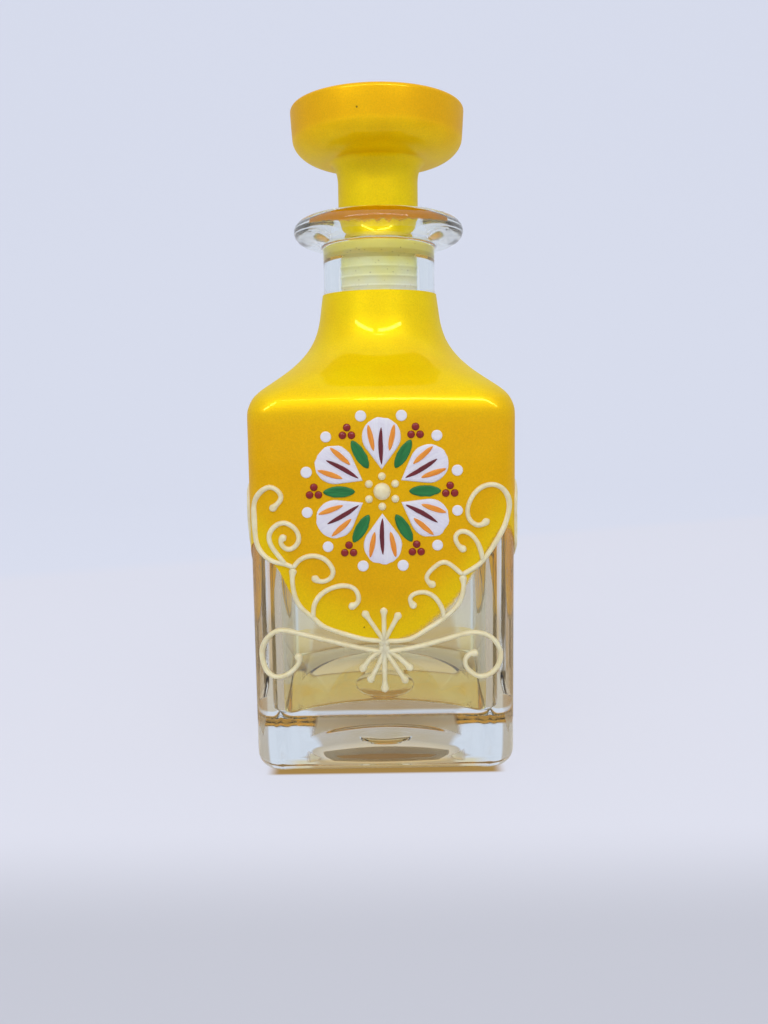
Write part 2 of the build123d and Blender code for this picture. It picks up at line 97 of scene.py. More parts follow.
# Lower edge of the lacquer across a face, and the piped strokes: across and up from the lowest
# point of the swag, as shares of half the body width
FRONT_EDGE_SHARES = (
    (-1.0, 0.74), (-0.94, 0.71), (-0.79, 0.57), (-0.68, 0.35), (-0.53, 0.19), (-0.3, 0.055), (0.0, -0.005),
    (0.24, 0.06), (0.345, 0.14), (0.45, 0.23), (0.55, 0.33), (0.75, 0.645), (0.9, 0.88), (1.0, 0.95),
)
SIDE_EDGE_SHARES = (
    (-1.0, 0.81), (-0.9, 0.75), (-0.77, 0.59), (-0.62, 0.35), (-0.49, 0.19), (-0.3, 0.06), (0.0, 0.0),
    (0.3, 0.06), (0.49, 0.19), (0.62, 0.35), (0.77, 0.59), (0.9, 0.75), (1.0, 0.81),
)
STROKE_SHARES = {
    "swags": (
        ((0, 0), (-0.14, 0.015), (-0.3, 0.06), (-0.455, 0.12), (-0.53, 0.19), (-0.61, 0.255), (-0.66, 0.34),
         (-0.68, 0.47), (-0.67, 0.57)),
        ((0, 0), (0.185, 0.01), (0.345, 0.1), (0.45, 0.17), (0.56, 0.275), (0.6, 0.4), (0.59, 0.5)),
    ),
    "scrolls": (
        ((-0.67, 0.57), (-0.73, 0.6), (-0.81, 0.615), (-0.89, 0.67), (-0.94, 0.76), (-0.95, 0.92),
         (-0.94, 1.08), (-0.83, 1.18), (-0.74, 1.1), (-0.83, 1.0)),
        ((-0.73, 0.6), (-0.83, 0.74), (-0.84, 0.83), (-0.785, 0.895), (-0.72, 0.91), (-0.645, 0.86),
         (-0.62, 0.785), (-0.65, 0.73), (-0.7, 0.705), (-0.75, 0.735), (-0.76, 0.785), (-0.715, 0.81)),
        ((-0.67, 0.57), (-0.62, 0.63), (-0.53, 0.66), (-0.43, 0.63), (-0.37, 0.54), (-0.4, 0.48),
         (-0.475, 0.46), (-0.53, 0.505)),
        ((-0.53, 0.19), (-0.52, 0.29), (-0.45, 0.38), (-0.32, 0.43), (-0.22, 0.41), (-0.185, 0.34),
         (-0.2, 0.285), (-0.265, 0.265)),
        ((0.59, 0.5), (0.685, 0.555), (0.745, 0.605), (0.83, 0.73), (0.91, 0.88), (0.94, 1.03),
         (0.89, 1.14), (0.8, 1.175), (0.7, 1.13), (0.635, 1.02), (0.64, 0.92), (0.715, 0.865),
         (0.79, 0.915)),
        ((0.745, 0.605), (0.715, 0.72), (0.655, 0.805), (0.58, 0.83), (0.535, 0.785), (0.565, 0.715),
         (0.62, 0.68)),
        ((0.59, 0.5), (0.5, 0.58), (0.445, 0.6), (0.38, 0.56), (0.325, 0.5), (0.325, 0.455), (0.39, 0.415)),
        ((0.45, 0.17), (0.44, 0.24), (0.39, 0.325), (0.32, 0.37), (0.24, 0.365), (0.19, 0.32), (0.24, 0.25)),
    ),
    "base_scrolls": (
        ((0, -0.085), (-0.19, -0.05), (-0.4, 0.005), (-0.61, 0.06), (-0.73, 0.09), (-0.81, 0.09),
         (-0.885, 0.025), (-0.925, -0.08), (-0.905, -0.2), (-0.85, -0.26), (-0.78, -0.265), (-0.7, -0.225),
         (-0.64, -0.15), (-0.66, -0.085)),
        ((0, -0.085), (0.235, -0.05), (0.45, 0.005), (0.61, 0.05), (0.71, 0.055), (0.81, 0.015),
         (0.875, -0.09), (0.86, -0.2), (0.79, -0.27), (0.71, -0.285), (0.63, -0.23), (0.605, -0.16),
         (0.65, -0.1), (0.71, -0.11)),
    ),
    "fan": (
        ((0, 0), (-0.155, 0.235)), ((0, 0), (0, 0.26)), ((0, 0), (0.12, 0.22)), ((0, 0), (0, -0.4)),
        ((0, -0.06), (-0.1, -0.125), (-0.18, -0.235)), ((0, -0.06), (-0.035, -0.16), (-0.12, -0.32)),
        ((0, -0.06), (0.06, -0.16), (0.17, -0.33)), ((0, -0.06), (0.1, -0.12), (0.21, -0.23)),
    ),
}


def linear(red, green, blue):
    """A colour written as 0 to 255 on the screen, as the linear values that shaders take."""
    shares = [value / 255 for value in (red, green, blue)]
    return tuple(v / 12.92 if v <= 0.04045 else ((v + 0.055) / 1.055) ** 2.4 for v in shares)


def length(name, description, millimetres):
    return bpy.props.FloatProperty(
        name=name, description=description, default=millimetres * MM, unit="LENGTH", min=0.0
    )


def finish_colour(name, description, red, green, blue):
    return bpy.props.FloatVectorProperty(
        name=name, description=description, default=linear(red, green, blue), subtype="COLOR", size=3,
        min=0.0, max=1.0,
    )


class DecanterSizes(bpy.types.PropertyGroup):
    """Sizes of the glass, its coat and its stopper."""
    body_width: length("Body width", "Across the flats of the body", (GLASS_HIGH.x - GLASS_LOW.x) / MM)
    corner_radius: length("Corner radius", "Upright corners of the body", 6.5)
    wall_top: length("Wall top", "Height where the shoulder begins", 89.5)
    shoulder_rise: length("Shoulder rise", "From wall to neck", 34)
    wall: length("Wall", "Thickness of the body's wall", 5)
    cavity_corner: length("Cavity corner", "Upright corners inside", 5.5)
    cavity_drop: length("Cavity drop", "How far the inner shoulder lies below the outer", 2)
    heel_radius: length("Heel radius", "Rounding between wall and base", 4.6)
    floor_corner: length("Floor corner", "Height of the cavity floor in its corners", 14.5)
    floor_rise: length("Floor rise", "Doming of the cavity floor", 7)
    punt_radius: length("Punt radius", "Hollow under the base", 22)
    punt_height: length("Punt height", "Depth of the hollow under the base", 1.9)
    mark_radius: length("Mark radius", "Ring left by the mould in the punt", 7.2)
    mark_depth: length("Mark depth", "Step of the mould's ring", 0.4)
    bore_radius: length("Bore radius", "Neck bore", 10.5)
    mouth_radius: length("Mouth radius", "Wider mouth above the seat", 12.2)
    neck_radius: length("Neck radius", "Outside of the neck", 15.05)
    neck_length: length("Neck length", "From shoulder to lip", 11.5)
    mouth_depth: length("Mouth depth", "From the lip's top to the seat", 9.5)
    rim_radius: length("Rim radius", "Rounding of the mouth's rim", 1.8)
    lip_radius: length("Lip radius", "Widest part of the lip", 22.8)
    lip_crown: length("Lip crown", "Depth of the lip's rounded edge", 5.6)
    lip_root: length("Lip root", "Rounding under the lip", 1.2)
    coat: length("Coat", "Thickness of the lacquer", 0.2)
    coat_bite: length("Coat bite", "How far the lacquer's inner skin lies in the glass", 0.02)
    swag_low: length("Swag low", "Lowest point of the swags", 34.6)
    shank_radius: length("Shank radius", "Stopper between head and sleeve", 10.5)
    flare_reach: length("Flare reach", "How far the hollow under the head spreads", 2.6)
    flare_height: length("Flare height", "Height of the hollow under the head", 5.5)
    head_radius: length("Head radius", "Widest part of the stopper", 22.8)
    head_taper: length("Head taper", "How much narrower the head is below", 0.4)
    head_underside: length("Head underside", "Height of the bowl under the head", 5.9)
    head_side: length("Head side", "Height of the head's upright side", 7.6)
    head_edge: length("Head edge", "Rounding of the head's top edge", 1)
    plug_radius: length("Plug radius", "Glass plug in the sleeve", 8.8)
    plug_end: length("Plug end", "Rounding of the plug's end", 1.5)
    shank_bottom: length("Shank bottom", "Where the shank meets the sleeve", FLANGE_TOP / MM + 0.1)
    sleeve_inside: length("Sleeve inside", "Bore of the sleeve", 8.85)
    sleeve_outside: length("Sleeve outside", "Sleeve between its ribs", 10.2)
    rib_outside: length("Rib outside", "Sleeve over its ribs", 10.42)
    flange_outside: length("Flange outside", "Wide top of the sleeve", 12.23)
    flange_bottom: length("Flange bottom", "Height where the sleeve's wide top begins", 133.1)


class ReliefSizes(bpy.types.PropertyGroup):
    """Sizes of the piped strokes and the painted rosette."""
    bead_width: length("Bead width", "Width of a piped stroke", 1.25)
    bead_height: length("Bead height", "How far a stroke stands out", 0.9)
    bulb_radius: length("Bulb radius", "Half width of a stroke's end", 1)
    knot_radius: length("Knot radius", "Dab of paste at the middle of the fan", 1.5)
    rosette_height: length("Rosette height", "Middle of the rosette", 72)
    petal_root: length("Petal root", "Distance of a petal's root from the middle", 5.4)
    petal_length: length("Petal length", "From root to tip", 12.6)
    petal_tip: length("Petal tip", "Radius of a petal's tip", 4.7)
    petal_thickness: length("Petal thickness", "Paint of petals and leaves", 0.35)
    stroke_thickness: length("Stroke thickness", "Paint of fine strokes", 0.15)
    berry_ring: length("Berry ring", "Distance of the berries from the middle", 16.6)
    berry_radius: length("Berry radius", "Berries and small beads", 0.95)
    dot_ring: length("Dot ring", "Distance of the dots from the middle", 19)
    dot_radius: length("Dot radius", "Painted dots", 1.35)
    centre_radius: length("Centre radius", "Bead at the middle", 2.1)
    bead_ring: length("Bead ring", "Distance of the small beads from the middle", 3.7)
    side_share: bpy.props.FloatProperty(
        name="Side share", description="Width of the strokes on the side and back faces", default=0.89,
        subtype="FACTOR", min=0.0, max=1.0,
    )


class DecanterColours(bpy.types.PropertyGroup):
    """Colours of the finishes and of the stage."""
    gold: finish_colour("Gold", "Pearl lacquer on the front and the head", 240, 182, 4)
    deep_gold: finish_colour("Deep gold", "Pearl lacquer where it lies thick", 232, 168, 3)
    # Painted light: the lacquer under the head is painted brighter, standing for light from below
    lit_bowl_gold: finish_colour("Bowl gold", "Lacquer under the head", 255, 206, 8)
    # Painted light: paler gold where more light falls on the shoulder and the shank, and also where the coat
    # thins just above its edge
    lit_and_thin_gold: finish_colour("Pale gold", "Lacquer on the shoulder and the shank", 246, 216, 8)
    lit_and_thin_deep_gold: finish_colour("Pale deep gold", "Pale lacquer where it lies thick", 242, 198, 8)
    # Painted glow: the inner skin emits this gold, standing for light that passes through the coat
    inner_glow_gold: finish_colour("Inner gold", "Glow of the lacquer's inner skin", 205, 168, 78)
    gold_shade: finish_colour("Gold shade", "Light that the lacquer lets through", 240, 170, 60)
    glass: finish_colour("Glass", "Tint of the clear glass", 243, 250, 247)
    haze: finish_colour("Haze", "Mist on the upper window", 238, 192, 144)
    low_haze: finish_colour("Low haze", "Mist on the lower window", 250, 214, 144)
    base_haze: finish_colour("Base haze", "Mist on the thick base", 186, 152, 88)
    side_haze: finish_colour("Side haze", "Mist on the sides", 232, 192, 112)
    side_dust: finish_colour("Side dust", "Dry lacquer dust on the sides", 200, 175, 118)
    base_dust: finish_colour("Base dust", "Dry dust under the base", 236, 231, 212)
    # Painted light: reflected gold and amber light on the cavity's floor
    basin_light: finish_colour("Basin", "Tint of the cavity's floor", 255, 238, 160)
    # Painted light: amber light from the paper under the bottle, seen in the front heel
    heel: finish_colour("Heel", "Tint of the front heel", 248, 222, 150)
    film: finish_colour("Film", "Lacquer inside the mouth", 224, 158, 0)
    sleeve: finish_colour("Sleeve", "Natural plastic", 250, 248, 238)
    sleeve_dust: finish_colour("Sleeve dust", "Lacquer dust on the sleeve", 255, 236, 128)
    sleeve_speck: finish_colour("Sleeve speck", "Lacquer specks on the sleeve", 150, 120, 30)
    cream: finish_colour("Cream", "Piped paste", 238, 229, 190)
    cream_deep: finish_colour("Cream deep", "Piped paste where it is thick", 226, 212, 164)
    petal: finish_colour("Petal", "Petals and dots", 228, 226, 230)
    petal_streak: finish_colour("Petal streak", "Brush streaks on the petals", 214, 206, 222)
    dot_streak: finish_colour("Dot streak", "Brush streaks on the dots", 226, 220, 230)
    maroon: finish_colour("Maroon", "Fine strokes on the petals", 112, 20, 30)
    maroon_streak: finish_colour("Maroon streak", "Brush streaks in the maroon", 70, 12, 26)
    orange: finish_colour("Orange", "Blush strokes on the petals", 228, 132, 22)
    orange_streak: finish_colour("Orange streak", "Brush streaks in the orange", 244, 168, 60)
    leaf: finish_colour("Leaf", "Leaves", 4, 104, 44)
    leaf_streak: finish_colour("Leaf streak", "Brush streaks on the leaves", 40, 140, 66)
    berry: finish_colour("Berry", "Berries", 140, 16, 14)
    berry_streak: finish_colour("Berry streak", "Brush streaks on the berries", 112, 8, 10)
    paper: finish_colour("Paper", "Paper that the decanter stands on", 226, 229, 240)
    # Painted light: amber light from the lacquered bottle, painted on the paper under it
    paper_amber_light: finish_colour("Paper amber", "Amber light on the paper under the bottle", 170, 136, 72)
    seen_backdrop: finish_colour("Seen backdrop", "Backdrop as it is seen", 221, 226, 242)
    seen_paper: finish_colour("Seen paper", "Paper as it is seen", 225, 227, 240)
    # Painted shade: the paper is darker near the camera
    seen_front_shade: finish_colour("Seen front", "Paper near the camera as it is seen", 195, 197, 208)
    # Painted shadow: the bottle's amber shadow on the paper behind it
    seen_behind_shadow: finish_colour("Seen behind", "Paper behind the bottle as the glass shows it", 205, 190, 168)
    # Painted light: the amber light under the bottle, as it is seen
    seen_amber_light: finish_colour("Seen amber", "Paper under the bottle as it is seen", 167, 133, 69)
    room: finish_colour("Room", "Light of the room", 236, 238, 248)


def ring_turns(side_steps, corner_steps):
    """Places round a section, closer together towards the ends of its sides. One turn is a quarter."""
    sides = [(1 + math.sin(math.pi * (step / side_steps - 0.5))) / 4 for step in range(side_steps)]
    corners = [0.5 + 0.5 * step / corner_steps for step in range(corner_steps)]
    return [quarter + share for quarter in range(4) for share in sides + corners]


def section_point(turn, width, corner, bow):
    """Where a turn meets a rounded square whose sides bow out until it is a circle."""
    quarter, share = divmod(turn, 1)
    spread = math.cos(bow) - math.sin(bow)
    side_radius = (width - corner * spread) / (1 - spread) if bow else 0.0
    if share < 0.5:
        lean = 4 * share - 1
        if bow:
            across = width - side_radius * (1 - math.cos(bow * lean))
            along = side_radius * math.sin(bow * lean)
        else:
            across, along = width, lean * (width - corner)
    else:
        reach = side_radius * math.sin(bow) if bow else width - corner
        middle = reach - corner * math.sin(bow)
        angle = bow + (2 * share - 1) * (math.pi / 2 - 2 * bow)
        across = middle + corner * math.cos(angle)
        along = middle + corner * math.sin(angle)
    return ((across, along), (-along, across), (-across, -along), (along, -across))[int(quarter) % 4]


def smooth_row(rows, place):
    """A row between a table's rows, on a smooth line through them."""
    index = min(int(place), len(rows) - 2)
    share = place - index
    before, start, end, after = (
        rows[max(index - 1, 0)], rows[index], rows[index + 1], rows[min(index + 2, len(rows) - 1)]
    )
    return tuple(
        b + 0.5 * share * (c - a + share * (2 * a - 5 * b + 4 * c - d + share * (3 * (b - c) + d - a)))
        for a, b, c, d in zip(before, start, end, after)
    )


def table_value(table, key):
    """The second column of a table at a value of its first, on a smooth line."""
    key = min(max(key, table[0][0]), table[-1][0])
    index = max(i for i, row in enumerate(table[:-1]) if row[0] <= key)
    (x0, y0), (x1, y1) = table[index], table[index + 1]
    before = table[max(index - 1, 0)]
    after = table[min(index + 2, len(table) - 1)]
    slope0 = (y1 - before[1]) / (x1 - before[0])
    slope1 = (after[1] - y0) / (after[0] - x0)
    t = (key - x0) / (x1 - x0)
    step = x1 - x0
    return (
        (1 + 2 * t) * (1 - t) ** 2 * y0 + t * (1 - t) ** 2 * step * slope0
        + t * t * (3 - 2 * t) * y1 + t * t * (t - 1) * step * slope1
    )


def arc(middle, radius, start, end, steps, squash=1.0):
    """Places on an arc in the (radius, height) plane, angles in degrees."""
    angles = [math.radians(start + (end - start) * step / steps) for step in range(steps + 1)]
    return [(middle[0] + radius * math.cos(a), middle[1] + squash * radius * math.sin(a)) for a in angles]


def circle(radius, height):
    """A round station: height, half width, corner radius and bow."""
    return (height, radius, radius, SIDE_BOW)


def circles(places):
    """Round stations at (radius, height) places."""
    return [circle(radius, height) for radius, height in places]


def shoulder_stations(half_width, corner, throat, wall_top, neck_foot, steps=4):
    """Stations from the top of the straight wall to the foot of the neck."""
    corner_share = corner / half_width
    stations = []
    for step in range((len(SHOULDER_SHARES) - 1) * steps + 1):
        height_share, width_share, round_share = smooth_row(SHOULDER_SHARES, step / steps)
        round_share = min(max(round_share, 0.0), 1.0)
        width = throat + width_share * (half_width - throat)
        radius = width * (corner_share + round_share * (1 - corner_share))
        bow = SIDE_BOW * round_share if round_share > 0.002 else 0.0
        stations.append((wall_top + height_share * (neck_foot - wall_top), width, radius, bow))
    return stations


def stations_below(stations, top):
    """The stations below a height, and one between its neighbours at that height."""
    kept = [station for station in stations if station[0] < top]
    low, high = kept[-1], stations[len(kept)]
    share = (top - low[0]) / (high[0] - low[0])
    return kept + [tuple(a + share * (b - a) for a, b in zip(low, high))]


def numbered_circle(bm, count, capped=False):
    """A circle whose points hold their number. Gives its points, its edges and its cap's middle point."""
    place = bm.verts.layers.int.new("place")
    bmesh.ops.create_circle(bm, segments=count, radius=1, cap_ends=capped, cap_tris=True)
    middle = next((vert for vert in bm.verts if vert.co.length < 0.5), None)
    ring = [vert for vert in bm.verts if vert != middle]
    for vert in ring:
        angle = math.atan2(vert.co.y, vert.co.x) % math.tau
        vert[place] = round(angle / math.tau * count) % count
    members = set(ring)
    return ring, [edge for edge in bm.edges if set(edge.verts) <= members], middle


def extruded(bm, edges):
    """Extrudes edges. Gives the new points and the new edges between them."""
    made = bmesh.ops.extrude_edge_only(bm, edges=edges)["geom"]
    verts = [item for item in made if isinstance(item, bmesh.types.BMVert)]
    members = set(verts)
    return verts, [e for e in made if isinstance(e, bmesh.types.BMEdge) and set(e.verts) <= members]


def close_in_point(bm, edges, point):
    """Draws the last ring together in one point."""
    bmesh.ops.pointmerge(bm, verts=extruded(bm, edges)[0], merge_co=point)


def set_ring(bm, ring, turns, station):
    """Puts a ring's points on their station. Its height may follow the point."""
    place = bm.verts.layers.int["place"]
    height, width, corner, bow = station
    for vert in ring:
        turn = turns[vert[place]]
        x, y = section_point(turn, width, corner, bow)
        vert.co = (x, y, height(turn, x, y) if callable(height) else height)


def skin_stations(turns, stations, start=None, end=None):
    """A mesh through stations, closed by a point at each end or else from its last ring to its first."""
    bm = bmesh.new()
    ring, first, middle = numbered_circle(bm, len(turns), start is not None)
    if middle:
        middle.co = start
    set_ring(bm, ring, turns, stations[0])
    edges = first
    for station in stations[1:]:
        ring, edges = extruded(bm, edges)
        set_ring(bm, ring, turns, station)
    if end:
        close_in_point(bm, edges, end)
    else:
        bmesh.ops.bridge_loops(bm, edges=first + edges)
    return bm


def mark_inner_skin(bm, outer_count):
    """Tells a coat's inner skin from its outer one, whose points were made first, for its material's painted
    glow.
    """
    inner = bm.verts.layers.float.new("inner_skin")
    for number, vert in enumerate(bm.verts):
        vert[inner] = 0.0 if number < outer_count else 1.0


def finish_piece(bm, name, body, nodes, material, crease=40.0):
    """Makes a piece of a mesh, riding on a body and standing for CAD nodes."""
    bmesh.ops.recalc_face_normals(bm, faces=bm.faces)
    for face in bm.faces:
        face.smooth = True
    if "place" in bm.verts.layers.int:
        bm.verts.layers.int.remove(bm.verts.layers.int["place"])
    mesh = bpy.data.meshes.new(name)
    bm.to_mesh(mesh)
    bm.free()
    if not mesh.polygons:
        raise RuntimeError(f"{name} has no faces")
    mesh.set_sharp_from_angle(angle=math.radians(crease))
    mesh.materials.append(material)
    piece = bpy.data.objects.new(name, mesh)
    bpy.context.scene.collection.objects.link(piece)
    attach(piece, body)
    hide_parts(*nodes)


class Nodes:
    """A node tree, with a short call for each kind of node that the finishes use."""

    def __init__(self, tree):
        self.tree = tree

    def set_inputs(self, node, values):
        """Sets or links a node's inputs."""
        for key, value in values.items():
            socket = node.inputs[key]
            if isinstance(value, bpy.types.NodeSocket):
                self.tree.links.new(value, socket)
            elif socket.type == "RGBA":
                socket.default_value = (*value[:3], 1.0)
            else:
                socket.default_value = value

    def add(self, kind, inputs=None, **settings):
        node = self.tree.nodes.new("ShaderNode" + kind)
        for key, value in settings.items():
            setattr(node, key, value)
        self.set_inputs(node, inputs or {})
        return node

    def math(self, operation, first, *others, clamp=False):
        """The first value joined with each other one in turn."""
        for value in others or (0.0,):
            first = self.add("Math", {0: first, 1: value}, operation=operation, use_clamp=clamp).outputs[0]
        return first

    def ramp(self, value, start, full, smooth=False, low=0.0, high=1.0):
        """From low to high between two values, of which either may be the larger."""
        kind = "SMOOTHSTEP" if smooth else "LINEAR"
        return self.add(
            "MapRange", {0: value, 1: start, 2: full, 3: low, 4: high}, interpolation_type=kind
        ).outputs[0]

    def blend(self, share, first, second, blend_type="MIX"):
        """Two colours mixed by a share."""
        return self.add(
            "Mix", {0: share, 6: first, 7: second}, data_type="RGBA", blend_type=blend_type
        ).outputs[2]

    def noise(self, place, scale, detail=2.0, roughness=0.5):
        return self.add(
            "TexNoise", {"Vector": place, "Scale": scale, "Detail": detail, "Roughness": roughness}
        ).outputs["Fac"]

    def cloud(self, place, scale, detail=2.0, roughness=0.5, low=0.0, high=1.0):
        """Noise spread over its range."""
        return self.ramp(self.noise(place, scale, detail, roughness), 0.3, 0.7, False, low, high)

    def specks(self, place, scale, rarity, size):
        """Round spots in some cells, larger in the rarer ones."""
        cells = self.add("TexVoronoi", {"Vector": place, "Scale": scale}, feature="F1").outputs
        rare = self.add("SeparateColor", {0: cells["Color"]}).outputs[0]
        return self.math("LESS_THAN", cells["Distance"], self.ramp(rare, rarity, 1.0, high=size))

    def place(self):
        """The point on the piece, in metres."""
        return self.add("TexCoord").outputs["Object"]

    def axes(self, place):
        return self.add("SeparateXYZ", {0: place}).outputs[:]

    def attribute(self, name, output="Fac"):
        return self.add("Attribute", attribute_name=name).outputs[output]

    def bump(self, height, strength, distance):
        return self.add("Bump", {"Height": height, "Strength": strength, "Distance": distance}).outputs[0]

    def shader(self, kind, inputs=None):
        return self.add("Bsdf" + kind, inputs).outputs[0]

    def mixed(self, share, below, above):
        """One shader laid over another by a share."""
        return self.add("MixShader", {0: share, 1: below, 2: above}).outputs[0]

    def background_rays(self):
        """1 for rays that show the background, straight, mirrored or through glass."""
        rays = self.add("LightPath").outputs
        return self.math("MAXIMUM", rays["Is Camera Ray"], rays["Is Glossy Ray"], rays["Is Transmission Ray"])


class Finish(Nodes):
    """A new material: its Principled shader and what is laid over it."""

    def __init__(self, name):
        self.material = bpy.data.materials.new(name)
        self.material.use_nodes = True
        super().__init__(self.material.node_tree)
        self.tree.nodes.clear()
        self.principled = self.add("BsdfPrincipled")
        self.surface = self.principled.outputs[0]

    def set(self, **sockets):
        """Sets or links the Principled shader's sockets, named with underscores for spaces."""
        self.set_inputs(self.principled, {key.replace("_", " "): value for key, value in sockets.items()})

    def lay_over(self, share, shader):
        self.surface = self.mixed(share, self.surface, shader)

    def lighten_shadow(self, tint, share=1.0):
        """Lets light through to what lies behind, tinted, in place of a hard shadow."""
        shadow = self.add("LightPath").outputs["Is Shadow Ray"]
        self.lay_over(self.math("MULTIPLY", shadow, share), self.shader("Transparent", {"Color": tint}))

    def done(self):
        """Sends the surface to the material's output."""
        self.tree.links.new(self.surface, self.add("OutputMaterial").inputs["Surface"])
        return self.material


def new_group(name, inputs, outputs):
    """An empty shader node group with its sockets, and its nodes for what goes in and comes out."""
    tree = bpy.data.node_groups.new(name, "ShaderNodeTree")
    for socket_name, kind in inputs:
        tree.interface.new_socket(name=socket_name, in_out="INPUT", socket_type="NodeSocket" + kind)
    for socket_name, kind in outputs:
        tree.interface.new_socket(name=socket_name, in_out="OUTPUT", socket_type="NodeSocket" + kind)
    return Nodes(tree), tree.nodes.new("NodeGroupInput").outputs, tree.nodes.new("NodeGroupOutput")


def pearl_group():
    """Fine mica grain, cloudy coats and rare dark specks of a sprayed pearl lacquer."""
    name = "Pearl lacquer"
    if name in bpy.data.node_groups:
        return bpy.data.node_groups[name]
    group, start, end = new_group(
        name,
        [("Place", "Vector"), ("Light", "Color"), ("Deep", "Color"), ("Grain", "Float"), ("Cloud", "Float"),
         ("Specks", "Float")],
        [("Color", "Color"), ("Height", "Float")],
    )
    grain = group.noise(start["Place"], 2600.0, 3.0, 0.7)
    cloud = group.cloud(start["Place"], 70.0, 3.0, 0.55)
    base = group.blend(group.math("MULTIPLY", cloud, start["Cloud"]), start["Light"], start["Deep"])
    shade = group.ramp(grain, 0.25, 0.75, low=-1.0)
    level = group.math("ADD", group.math("MULTIPLY", shade, start["Grain"]), 1.0)
    base = group.blend(1.0, base, level, "MULTIPLY")
    speck = group.math("MULTIPLY", group.specks(start["Place"], 210.0, 0.82, 0.06), start["Specks"])
    height = group.math("ADD", grain, group.math("MULTIPLY", cloud, 0.4))
    group.set_inputs(end, {"Color": group.blend(speck, base, linear(89, 60, 13)), "Height": height})
    return group.tree


def brush_group():
    """Streaks that a brush leaves along a stroke, as a shade and a height."""
    name = "Brush streaks"
    if name in bpy.data.node_groups:
        return bpy.data.node_groups[name]
    group, start, end = new_group(
        name, [("Stroke", "Vector"), ("Color", "Color"), ("Streak", "Color"), ("Depth", "Float")],
        [("Color", "Color"), ("Height", "Float")],
    )
    lines = group.add("Mapping", {"Vector": start["Stroke"], "Scale": (1.0, 0.09, 1.0)}).outputs["Vector"]
    fine = group.noise(lines, 2600.0, 3.0, 0.6)
    streak = group.ramp(group.math("ADD", fine, group.noise(lines, 900.0)), 0.75, 1.25, True)
    share = group.math("MULTIPLY", streak, start["Depth"])
    group.set_inputs(end, {"Color": group.blend(share, start["Color"], start["Streak"]), "Height": streak})
    return group.tree


def mist_glass(glass, place, colours):
    """Adds the bottle's spray mist, the film of lacquer in its mouth, and tinted zones of painted light:
    reflected gold and amber light on the cavity's floor, and amber light in the front heel.
    """
    x, y, z = glass.axes(place)
    grain = glass.math("MULTIPLY", glass.math("SUBTRACT", glass.noise(place, 900.0, 3.0), 0.5), 0.7 * MM)
    flat = glass.add("CombineXYZ", {0: x, 1: y}).outputs[0]
    measures = {
        "y": y, "z": z, "across": glass.math("ABSOLUTE", x), "along": glass.math("ABSOLUTE", y),
        "radius": glass.add("VectorMath", {0: flat}, operation="LENGTH").outputs["Value"],
        "ragged": glass.math("ADD", z, grain),
    }
    zone = {
        name: glass.math("MULTIPLY", 1.0, *(
            glass.ramp(measures[key], start * MM, full * MM) for key, start, full in ramps
        ))
        for name, ramps in GLASS_ZONES.items()
    }
    mist = glass.math(
        "MULTIPLY", glass.math("MAXIMUM", glass.math("MULTIPLY", zone["side"], 0.75), zone["back"]),
        glass.ramp(z, 0.8 * MM, 2 * MM, True), glass.math("SUBTRACT", 1.0, zone["corners"]),
        glass.cloud(place, 45.0, low=0.75),
    )
    haze = glass.blend(glass.ramp(z, 26 * MM, 34 * MM), colours.low_haze, colours.haze)
    haze = glass.blend(glass.ramp(z, 13 * MM, 18 * MM), colours.base_haze, haze)
    haze = glass.blend(zone["side"], haze, colours.side_haze)
    tint = glass.blend(mist, colours.glass, haze)
    # Painted light: reflected gold and amber light tint the cavity's floor
    tint = glass.blend(zone["basin_light"], tint, colours.basin_light)
    # Painted light: the front heel is tinted with amber light from the paper under the bottle
    glass.set(Base_Color=glass.blend(zone["heel"], tint, colours.heel))
    dust = glass.blend(zone["side"], haze, colours.side_dust)
    dust = glass.blend(glass.math("MAXIMUM", zone["foot"], zone["lip"]), dust, colours.base_dust)
    dust = glass.blend(zone["film"], dust, colours.film)
    dry_share = glass.math("ADD", glass.math("MULTIPLY", zone["side"], 0.55), 0.1)
    share = glass.math(
        "MAXIMUM", glass.math("MULTIPLY", mist, dry_share), glass.math("MULTIPLY", zone["foot"], 0.85),
        glass.math("MULTIPLY", zone["lip"], 0.08), zone["film"],
    )
    through = glass.ramp(zone["foot"], 0.0, 1.0, low=0.5, high=0.1)
    lit, passing = (glass.shader(kind, {"Color": dust}) for kind in ("Diffuse", "Translucent"))
    glass.lay_over(share, glass.mixed(through, lit, passing))


def clear_glass(colours, name, shadow_tint, misted):
    """Pressed glass, slightly wavy."""
    glass = Finish(name)
    place = glass.place()
    glass.set(
        Base_Color=colours.glass, Roughness=0.0, IOR=1.5, Transmission_Weight=1.0,
        Normal=glass.bump(glass.noise(place, 60.0, 1.0), 0.12, 0.6 * MM),
    )
    if misted:
        mist_glass(glass, place, colours)
    glass.lighten_shadow(shadow_tint)
    return glass.done()


